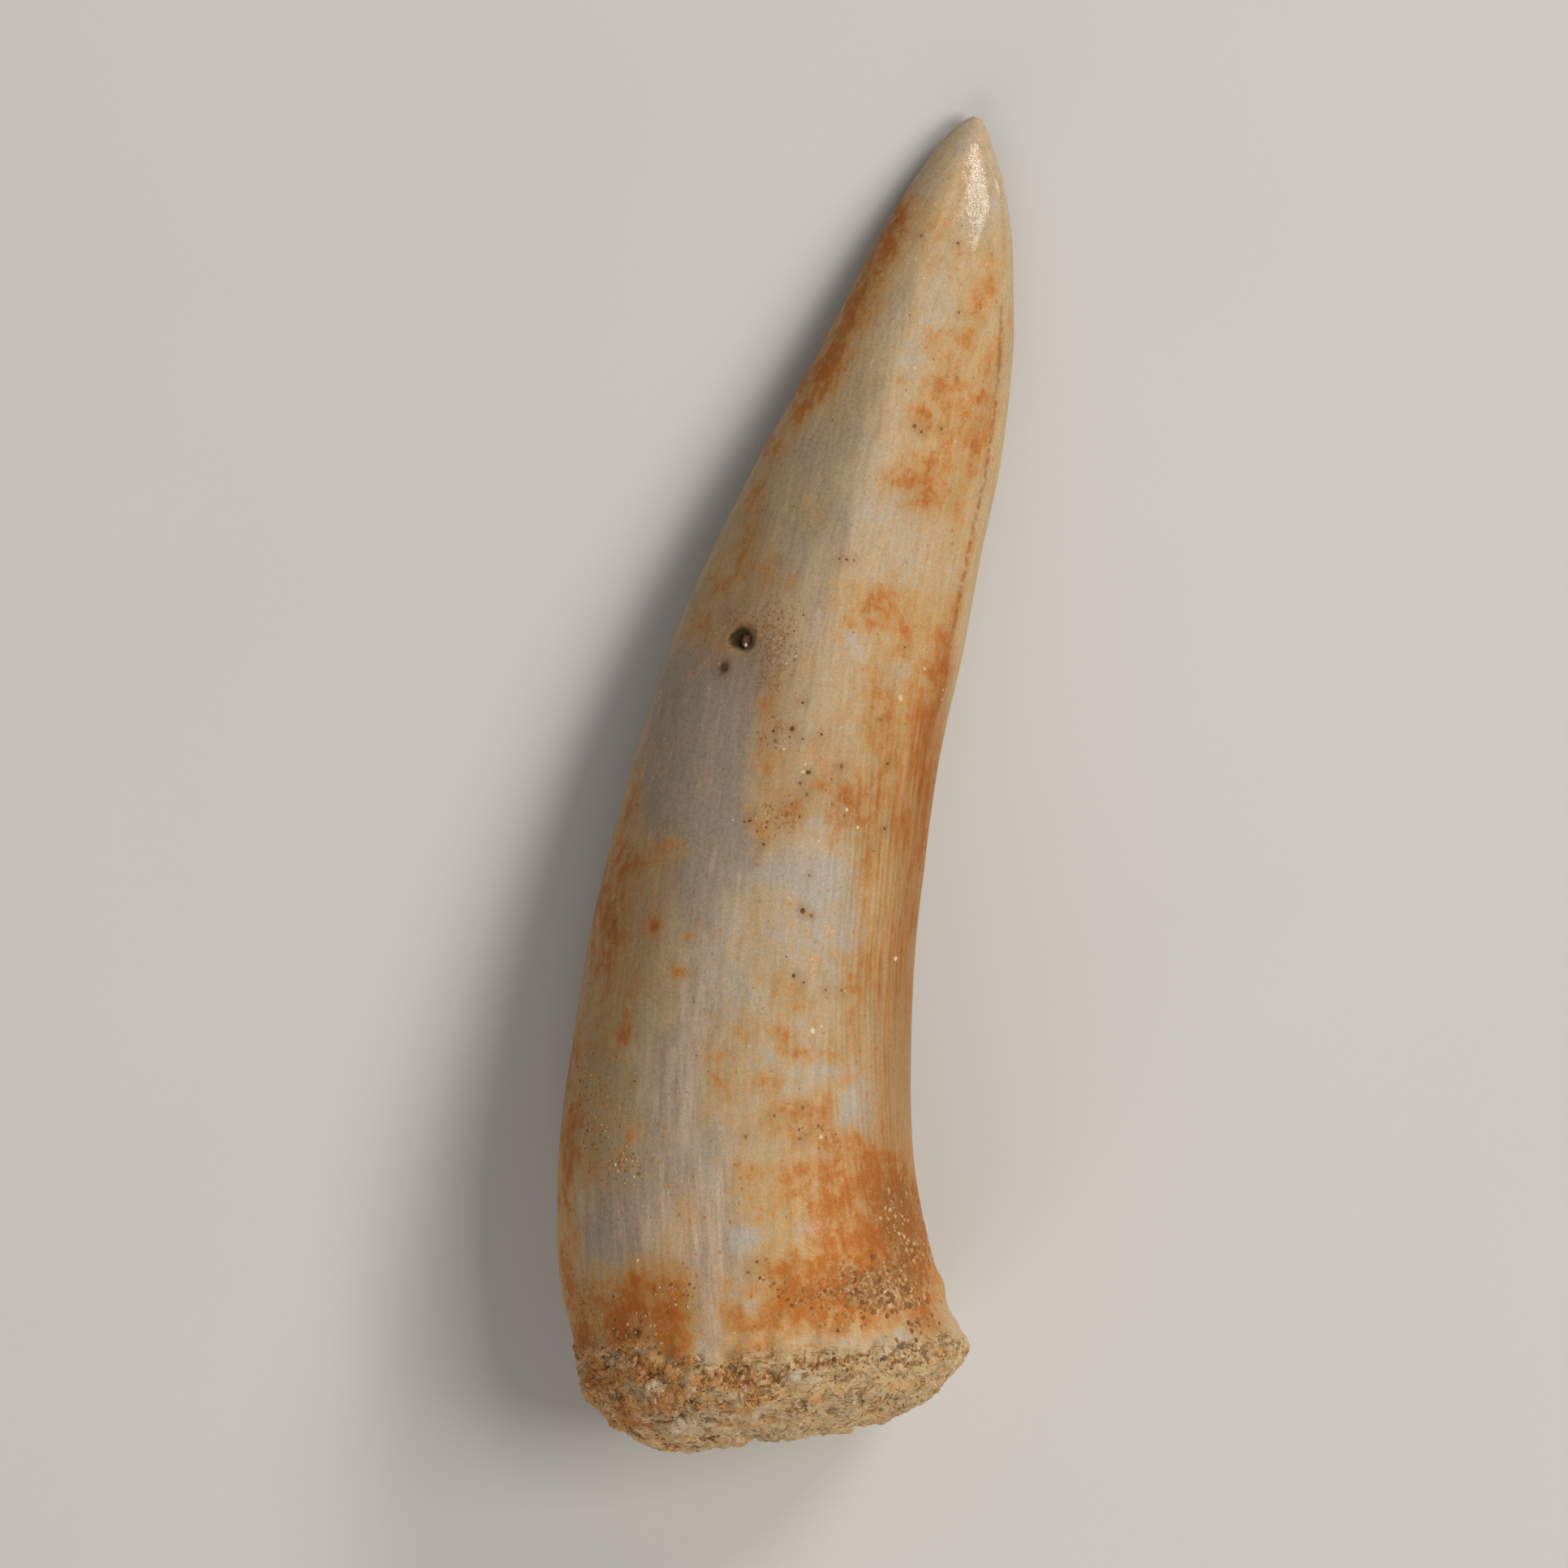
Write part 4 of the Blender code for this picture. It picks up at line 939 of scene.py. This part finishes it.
def bone_look(n, place, iron, lilac, pale):
    """(colour, height) of the bone of attachment: flecked yellow to rust, with painted shade in its pores and
    cracks.
    """
    blotches = n.noise(place, 1.8, 6, 0.7)
    flecks = n.noise(n.scaled(place, (0.7, 1.5, 1)), 4.0, 5, 0.72)
    patches = n.noise(n.scaled(place, (0.8, 1.3, 1)), 1.5, 4, 0.6, distortion=0.6)
    colour = n.stained(BONE_PALE, BONE_ORANGE, iron, blotches, 2.4, 0.2, 0.85)
    colour = n.mix(n.step(patches, 0.53, 0.64, 0, 0.55), colour, BONE_ORANGE)
    colour = n.mix(n.step(patches, 0.46, 0.36, 0, 0.5), colour, BONE_GREY)
    colour = n.stained(colour, RUST, iron, patches, 3.0, 0.52, 1.22, 0.57)
    colour = n.stained(colour, BONE_GREY, lilac, flecks, 1.2, 0.3, 0.7, 0.8)
    colour = n.stained(colour, BONE_LIGHT, pale, flecks, 1.6, 0.3, 0.8, 0.75)
    colour = n.mix(n.step(flecks, 0.54, 0.68, 0, 0.6), colour, BONE_LIGHT)
    colour = n.mix(n.step(flecks, 0.45, 0.35, 0, 0.32), colour, BROWN_SOIL_AND_SHADOW)
    pore_cells = n.cells(n.scaled(place, (0.8, 1.3, 1)), 2.6)
    pore = n.times(n.step(pore_cells, 0.24, 0.1), n.step(blotches, 0.46, 0.6))
    crack_noise = n.noise(n.scaled(place, (0.6, 1.5, 1)), 2.0, 5, 0.62)
    crack = n.step(n.math("ABSOLUTE", n.minus(crack_noise, 0.5)), 0.02, 0.004)
    crack = n.times(crack, n.step(blotches, 0.42, 0.56))
    dark = n.math("MAXIMUM", pore, crack)
    return n.mix(n.times(dark, 0.6), colour, BONE_PAINTED_SHADE), n.minus(flecks, n.times(dark, 0.5))


def enameloid_material():
    """Stained enameloid and bone, with painted light and shade: every zone's colour, gloss and fine relief.
    """
    n = Nodes(SLOT)
    place = n.attribute("straight", "Vector")
    (
        iron, lilac, pale, violet_highlight, warm, olive, deep, polish,
        soil_and_shadow, halo, flank, bone, hollow_shade, stria, keel, keel_line,
    ) = map(n.attribute, FIELDS)

    # Noises, their scales in cells per mm. The stretched ones run with the tooth's length.
    cloudy = n.noise(n.scaled(place, (1, 0.6, 1)), 0.45, 5, 0.6)
    patchy = n.noise(n.scaled(place, (1, 0.75, 1)), 1.1, 6, 0.58, distortion=0.3)
    mottled = n.noise(n.scaled(place, (1, 0.8, 1)), 2.8, 6, 0.62, distortion=0.15)
    grainy = n.noise(place, 8.0, 4, 0.65)
    fibrous = n.noise(n.scaled(place, (6, 0.4, 6)), 1.0, 4, 0.6)
    fine = n.noise(place, 20.0, 3, 0.6)
    streaked = n.noise(n.scaled(place, (3.5, 0.35, 3.5)), 1.0, 5, 0.65)
    uneven = n.plus(n.times(patchy, 0.38), n.times(mottled, 0.36))
    uneven = n.plus(uneven, n.times(grainy, 0.26))
    uneven = n.plus(uneven, n.times(n.minus(streaked, uneven), n.times(flank, 0.55)))
    clean = n.minus(1.0, uneven)

    # Mineral zones, among them painted sheen, highlights and light, then stain over them from pale orange to
    # rust and soil, which is partly painted shadow.
    colour = n.mix(n.step(cloudy, 0.35, 0.65), IVORY, IVORY_WARM)
    colour = n.stained(colour, WARM_TAN, warm, uneven, 2.4, 0.2, 1.05, 0.7)
    colour = n.stained(colour, OLIVE_GREY, olive, patchy, 1.0, 0.15, 0.85)
    colour = n.stained(colour, GREY_LILAC, lilac, patchy, 1.0, 0.15, 0.8)
    colour = n.stained(colour, PALE_VIOLET_HIGHLIGHT, violet_highlight, streaked, 2.8, 0.12, 0.95, 0.85)
    colour = n.stained(colour, CHALK_AND_PAINTED_LIGHT, pale, clean, 3.2, 0.25, 0.85, 0.85)
    colour = n.mix(n.step(grainy, 0.55, 0.75, 0.0, 0.3), colour, TAN)
    colour = n.stained(colour, PALE_ORANGE, iron, uneven, 2.4, 0.04, 0.66, 0.75)
    iron_share = n.masked(iron, uneven, 3.8, 0.36, 0.98)
    colour = n.mix(n.times(iron_share, 0.85), colour, ORANGE)
    colour = n.stained(colour, RUST, iron, uneven, 3.6, 0.57, 1.13, 0.86)
    # Soaked-in stain, and painted shade on the left side, darken everything.
    colour = n.mix(n.times(deep, 0.9), colour, n.mix(1.0, colour, DEEP_TINT, "MULTIPLY"))
    # Brown dirt, and painted shadow under the sand.
    soil_and_shadow_share = n.times(n.masked(soil_and_shadow, grainy, 3.0, 0.5, 1.05), 0.7)
    colour = n.mix(soil_and_shadow_share, colour, BROWN_SOIL_AND_SHADOW)

    # Dark dots, halos round the specks, rusty freckles and pale glints.
    dot_share = n.times(n.step(n.cells(place, 1.7), 0.085, 0.05), n.step(grainy, 0.4, 0.55, 0.2, 0.75))
    colour = n.mix(dot_share, colour, BROWN_SOIL_AND_SHADOW)
    colour = n.mix(n.times(halo, 0.7), colour, HALO_BROWN)
    freckles = n.times(n.step(n.cells(place, 2.8), 0.22, 0.12), n.step(patchy, 0.44, 0.56))
    freckles = n.times(freckles, n.plus(n.times(warm, 0.6), 0.15))
    colour = n.mix(freckles, colour, RUST)
    glint_cells = n.cells(n.scaled(place, (-1, 1, 1)), 2.4)
    glints = n.times(n.step(glint_cells, 0.13, 0.07), n.step(cloudy, 0.5, 0.6))
    colour = n.mix(n.times(glints, 0.5), colour, BONE_LIGHT)

    # The striae's grooves are darkened brown, and fibres show faintly everywhere.
    stria_share = n.math("MULTIPLY", stria, n.plus(n.times(iron, 0.25), 0.34), clamp=True)
    colour = n.mix(stria_share, colour, BROWN_SOIL_AND_SHADOW)
    fibre_shade = n.step(fibrous, 0.3, 0.7, 0.93, 1.07)
    grain_shade = n.times(n.step(fine, 0.3, 0.7, 0.87, 1.12), n.step(grainy, 0.3, 0.7, 0.91, 1.09))
    shade = n.times(fibre_shade, grain_shade)

    # Painted light: the lower third and the crown are made a little lighter and the middle a little darker,
    # for how the light falls along the fang.
    parts = n.add("ShaderNodeSeparateXYZ")
    n.put(place, parts.inputs[0])
    along = parts.outputs["Y"]
    shade = n.times(shade, n.step(along, 13.0, 6.0, 0.95, 1.1))
    shade = n.times(shade, n.step(along, 20.0, 28.0, 1.0, 1.06))

    bone_colour, bone_height = bone_look(n, place, iron, lilac, pale)
    # Painted shade in the bone's sunk places, crevices and holes.
    bone_colour = n.mix(n.step(hollow_shade, 0.3, 1.0, 0, 0.65), bone_colour, BONE_PAINTED_SHADE)
    colour = n.mix(bone, colour, bone_colour)

    # The keel is pale, with a line of dirt along its inner side, and single pits get painted shade.
    colour = n.mix(n.times(keel, 0.4), colour, KEEL_PALE)
    broken = n.noise(n.scaled(place, (1, 1.2, 1)), 3.5, 5, 0.75)
    line_share = n.times(keel_line, n.step(broken, 0.38, 0.6))
    colour = n.mix(n.times(line_share, 0.85), colour, KEEL_BROWN)
    pit_share = n.times(hollow_shade, n.minus(1.0, bone))
    colour = n.mix(n.times(pit_share, 0.95), colour, PIT_PAINTED_SHADE)
    grey = n.add("ShaderNodeCombineColor")
    for socket in grey.inputs:
        n.put(shade, socket)
    n.put(n.mix(1.0, colour, grey.outputs[0], "MULTIPLY"), n.shader.inputs["Base Color"])

    # Gloss: waxy enameloid, dull where stained or sandy, chalky bone.
    glossy = n.masked(polish, uneven, 4.0, 0.3, 0.5)
    roughness = n.plus(n.step(mottled, 0.3, 0.7, 0.46, 0.6), n.times(iron_share, 0.12))
    roughness = n.plus(roughness, n.times(n.math("MAXIMUM", bone, soil_and_shadow_share), 0.35), clamp=True)
    n.put(n.minus(roughness, n.times(glossy, 0.4)), n.shader.inputs["Roughness"])
    sheen = n.plus(n.step(n.math("MAXIMUM", iron, bone), 0.2, 0.9, 0.5, 0.25), n.times(glossy, 0.35))
    sheen = n.times(sheen, n.step(hollow_shade, 0.3, 0.9, 1.0, 0.1))
    n.put(sheen, n.shader.inputs["Specular IOR Level"])
    n.shader.inputs["IOR"].default_value = 1.42

    # Fine relief: a skin of grain, fibres, then the bone's pores.
    skin = n.plus(n.times(grainy, 0.5), n.times(fine, 0.35))
    skin = n.minus(n.plus(skin, n.times(fibrous, 0.2)), n.times(stria, 0.8))
    skin = n.plus(skin, n.times(n.times(uneven, polish), 3.0))
    normal = n.bump(skin, 0.000012)
    normal = n.bump(n.times(bone_height, bone), 0.00016, normal)
    n.put(normal, n.shader.inputs["Normal"])
    return n.material


def crumb_material():
    """Bone crumbs: the look of the bone under them, each a little lighter or darker."""
    n = Nodes("bone_crumbs")
    place = n.attribute("straight", "Vector")
    colour, _ = bone_look(n, place, n.attribute("iron"), n.attribute("lilac"), n.attribute("pale"))
    tone = n.attribute("tone")
    colour = n.mix(n.step(tone, 0.5, 1.0, 0.0, 0.7), colour, BONE_LIGHT)
    colour = n.mix(n.step(tone, 0.35, 0.0, 0.0, 0.35), colour, BROWN_SOIL_AND_SHADOW)
    n.put(colour, n.shader.inputs["Base Color"])
    n.shader.inputs["Roughness"].default_value = 0.8
    fine = n.noise(n.add("ShaderNodeTexCoord").outputs["Object"], 11000, 4, 0.7)
    n.put(n.bump(fine, 0.00005), n.shader.inputs["Normal"])
    return n.material


def grain_material():
    """Sand, specks and flecks: each grain has its own tone, from dark matrix to clear quartz."""
    n = Nodes("cemented_grains")
    tone = n.attribute("tone")
    ramp_node = n.add("ShaderNodeValToRGB")
    n.put(tone, ramp_node.inputs["Fac"])
    elements = ramp_node.color_ramp.elements
    while len(elements) < len(GRAIN_TONES):
        elements.new(0.5)
    for element, (place, colour) in zip(elements, GRAIN_TONES):
        element.position = place
        element.color = (*colour, 1.0)
    n.put(ramp_node.outputs["Color"], n.shader.inputs["Base Color"])
    n.put(n.step(tone, 0.35, 0.75, 0.9, 0.5), n.shader.inputs["Roughness"])
    return n.material


def unit_grain():
    """Vertices and faces of a small round grain of radius 1."""
    mesh = bpy.data.meshes.new("grain_pattern")
    bm = bmesh.new()
    bmesh.ops.create_icosphere(bm, subdivisions=1, radius=1.0)
    bm.to_mesh(mesh)
    bm.free()
    vertices = np.array([v.co for v in mesh.vertices])
    faces = [tuple(p.vertices) for p in mesh.polygons]
    bpy.data.meshes.remove(mesh)
    return vertices, faces


class Grains:
    """Small lumps set into the fang's surface, joined in one mesh."""

    def __init__(self, fang, seed):
        self.tree = BVHTree.FromPolygons(
            [v.co for v in fang.data.vertices], [tuple(p.vertices) for p in fang.data.polygons]
        )
        self.chance = random.Random(seed)
        self.pattern, self.pattern_faces = unit_grain()
        self.points, self.faces, self.tones = [], [], []

    def drop(self, x, y):
        """(place, normal) in metres where a pixel of the photograph meets the fang, or None beside it."""
        well_above = 0.05
        plan_x, plan_y = plan_of_pixel(x, y)
        start = Vector((plan_x * MM, plan_y * MM, well_above))
        place, normal, _, _ = self.tree.ray_cast(start, Vector((0, 0, -1)))
        return None if place is None else (place, normal)

    def set_grain(self, place, normal, radius, tone, flat=0.8, sunk=SAND_SUNK, level=False, jagged=0.16):
        """One uneven grain, with its middle sunk below the surface by a share of its height. A level one is
        drawn out across the fang."""
        chance = self.chance
        turn = normal.to_track_quat("Z", "Y").to_matrix()
        spin = chance.gauss(0, 0.5) if level else chance.uniform(0, math.tau)
        cos, sin = math.cos(spin), math.sin(spin)
        stretch = (chance.uniform(0.75, 1.3), chance.uniform(0.7, 1.1), flat * chance.uniform(0.8, 1.15))
        if level:
            stretch = (stretch[0] * 1.4, stretch[1], stretch[2])
        first = len(self.points)
        for vertex in self.pattern:
            uneven = chance.uniform(1 - jagged, 1 + jagged)
            x, y, z = (value * size * uneven for value, size in zip(vertex, stretch))
            turned = Vector((x * cos - y * sin, x * sin + y * cos, z))
            turned.z -= sunk * stretch[2]
            point = place + turn @ turned * (radius * MM)
            point.z = max(point.z, 0.0)
            self.points.append(point)
            self.tones.append(tone)
        self.faces += [tuple(first + i for i in face) for face in self.pattern_faces]

    def cluster(self, x, y, wide, long, count, radius):
        """Sand grains scattered about a pixel of the photograph, except where the fang is almost upright."""
        chance = self.chance
        darkest, lightest = 0.28, 0.92
        steepest = 0.12
        for _ in range(count):
            across, down = chance.gauss(0, wide * 0.6), chance.gauss(0, long * 0.6)
            found = self.drop(x + across, y + down)
            size = radius * chance.uniform(0.55, 1.25)
            tone = min(lightest, max(darkest, chance.gauss(0.45, 0.16)))
            if found and found[1].z > steepest:
                self.set_grain(*found, size, tone)

    def object(self, name):
        """All the grains as one object, with the tone of each for its material."""
        mesh = bpy.data.meshes.new(name)
        mesh.from_pydata([tuple(p) for p in self.points], [], self.faces)
        attribute = mesh.attributes.new("tone", "FLOAT", "POINT")
        attribute.data.foreach_set("value", np.array(self.tones, np.float32))
        mesh.shade_smooth()
        mesh.set_sharp_from_angle(angle=math.radians(35))
        made = bpy.data.objects.new(name, mesh)
        bpy.context.scene.collection.objects.link(made)
        return made


def bone_crumbs(fang):
    """Crumbs of bone grown into the base on every side, each coloured like the bone at its own place."""
    grains = Grains(fang, 47)
    chance = grains.chance
    mesh = fang.data
    fields = {name: np.zeros(len(mesh.vertices), np.float32) for name in ("bone", "iron", "lilac", "pale")}
    for name, values in fields.items():
        mesh.attributes[name].data.foreach_get("value", values)
    straight = np.zeros(len(mesh.vertices) * 3, np.float32)
    mesh.attributes["straight"].data.foreach_get("vector", straight)
    bone = fields.pop("bone")
    least_bone = 0.55
    rough = [face for face in mesh.polygons if min(bone[i] for i in face.vertices) > least_bone]
    areas = np.cumsum([face.area for face in rough])
    sources = []
    for _ in range(CRUMBS):
        face = rough[int(np.searchsorted(areas, chance.uniform(0, areas[-1])))]
        corners = [mesh.vertices[i].co for i in face.vertices]
        weights = [chance.random() for _ in corners]
        place = sum((c * w for c, w in zip(corners, weights)), Vector()) / sum(weights)
        radius = CRUMB_RADII[0] + (CRUMB_RADII[1] - CRUMB_RADII[0]) * chance.random() ** 2
        tone = min(1.0, max(0.0, chance.gauss(0.5, 0.2)))
        grains.set_grain(place, face.normal, radius, tone, sunk=CRUMB_SUNK, level=True, jagged=0.3)
        sources.append(face.vertices[0])
    made = grains.object("bone_crumbs")
    for_each = len(grains.pattern)
    for name, values in fields.items():
        store(made.data, name, np.repeat(values[sources], for_each), ())
    store_vector(made.data, "straight", np.repeat(straight.reshape(-1, 3)[sources], for_each, axis=0))
    return made


def sand_grains(fang):
    """The sand cemented to the fang, cluster by cluster."""
    grains = Grains(fang, 41)
    for cluster in SAND:
        grains.cluster(*cluster)
    return grains.object("sand_grains")


def specks(fang):
    """Dark specks, white flecks that are painted glints, and the bead in the pit with a painted glint on it.
    """
    grains = Grains(fang, 43)
    for spots, share, darkest, lightest, flat, sunk in (
        (DARK_SPECKS, 1.0, 0.15, 0.38, 0.3, 0.4),
        (WHITE_GLINT_FLECKS, 0.7, 0.8, 0.95, 0.5, 0.3),
    ):
        for x, y, radius in spots:
            found = grains.drop(x, y)
            if found:
                tone = grains.chance.uniform(darkest, lightest)
                grains.set_grain(*found, radius * share, tone, flat=flat, sunk=sunk)
    for right, down, radius, tone, flat, sunk in BEAD:
        found = grains.drop(PIT_PIXEL[0] + right, PIT_PIXEL[1] + down)
        grains.set_grain(*found, radius, tone, flat=flat, sunk=sunk)
    return grains.object("surface_specks")


def floor():
    """A plain pale floor, with a faint unevenness of tone."""
    reach = 0.6
    mesh = bpy.data.meshes.new("floor")
    corners = [(-reach, -reach, 0), (reach, -reach, 0), (reach, reach, 0), (-reach, reach, 0)]
    mesh.from_pydata(corners, [], [(0, 1, 2, 3)])
    made = bpy.data.objects.new("floor", mesh)
    bpy.context.scene.collection.objects.link(made)
    n = Nodes("pale_floor")
    place = n.add("ShaderNodeTexCoord").outputs["Object"]
    tone = n.step(n.noise(place, 60, 3, 0.5), 0.3, 0.7)
    n.put(n.mix(tone, FLOOR_COLOUR, tuple(c * 0.985 for c in FLOOR_COLOUR)), n.shader.inputs["Base Color"])
    n.shader.inputs["Roughness"].default_value = 0.7
    mesh.materials.append(n.material)


def area_light(name, towards, distance, size, power, colour):
    """A square softbox that shines on the middle of the fang from a direction."""
    target = Vector((0.0, 0.0, 0.004))
    data = bpy.data.lights.new(name, "AREA")
    data.shape = "SQUARE"
    data.size = size
    data.energy = power
    data.color = colour
    made = bpy.data.objects.new(name, data)
    made.location = target + Vector(towards).normalized() * distance
    made.rotation_euler = (target - made.location).to_track_quat("-Z", "Y").to_euler()
    bpy.context.scene.collection.objects.link(made)


def lights():
    """Soft key from the photograph's right, a fill from below, a small box at the upper right that the tip
    reflects, and pale surroundings."""
    right = Vector((math.cos(PHOTO_LEAN), math.sin(PHOTO_LEAN), 0))
    up = Vector((-math.sin(PHOTO_LEAN), math.cos(PHOTO_LEAN), 0))
    over = Vector((0, 0, 1))
    for name, (rightward, upward, overhead), *rest in LIGHTS:
        area_light(name, right * rightward + up * upward + over * overhead, *rest)
    world = bpy.data.worlds.new("studio")
    world.use_nodes = True
    background = world.node_tree.nodes["Background"]
    background.inputs["Color"].default_value = (*SURROUNDINGS_COLOUR, 1)
    background.inputs["Strength"].default_value = SURROUNDINGS_STRENGTH
    bpy.context.scene.world = world


def camera():
    """Straight down on the fang, turned so that the fang leans as in the photograph."""
    lens = 450.0
    data = bpy.data.cameras.new("camera")
    data.lens = lens
    data.sensor_width = 36.0
    data.clip_start = 0.01
    frame_width = PHOTO_SIDE / PIXELS_PER_MM
    widest_height = 4.0
    distance = frame_width * lens / data.sensor_width
    made = bpy.data.objects.new("camera", data)
    middle = plan_of_pixel(PHOTO_SIDE / 2, PHOTO_SIDE / 2)
    made.location = Vector((*middle, distance + widest_height)) * MM
    made.rotation_euler = (0, 0, PHOTO_LEAN)
    bpy.context.scene.collection.objects.link(made)
    bpy.context.scene.camera = made


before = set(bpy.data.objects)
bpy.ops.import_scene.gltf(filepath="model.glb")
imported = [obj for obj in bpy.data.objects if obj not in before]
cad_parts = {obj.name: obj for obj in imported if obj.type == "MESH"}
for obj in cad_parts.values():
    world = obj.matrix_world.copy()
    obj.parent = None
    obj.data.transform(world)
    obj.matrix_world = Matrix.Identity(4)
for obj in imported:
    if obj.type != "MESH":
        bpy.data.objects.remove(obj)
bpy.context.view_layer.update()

fang = fang_object()
fang.data.materials.append(enameloid_material())
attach(fang, "root")
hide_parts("fang")

crumbs = bone_crumbs(fang)
crumbs.data.materials.append(crumb_material())
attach(crumbs, "root")

grain_finish = grain_material()
for grains in (sand_grains(fang), specks(fang)):
    grains.data.materials.append(grain_finish)
    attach(grains, "root")

floor()
lights()
camera()
bpy.context.scene.view_settings.view_transform = "Standard"
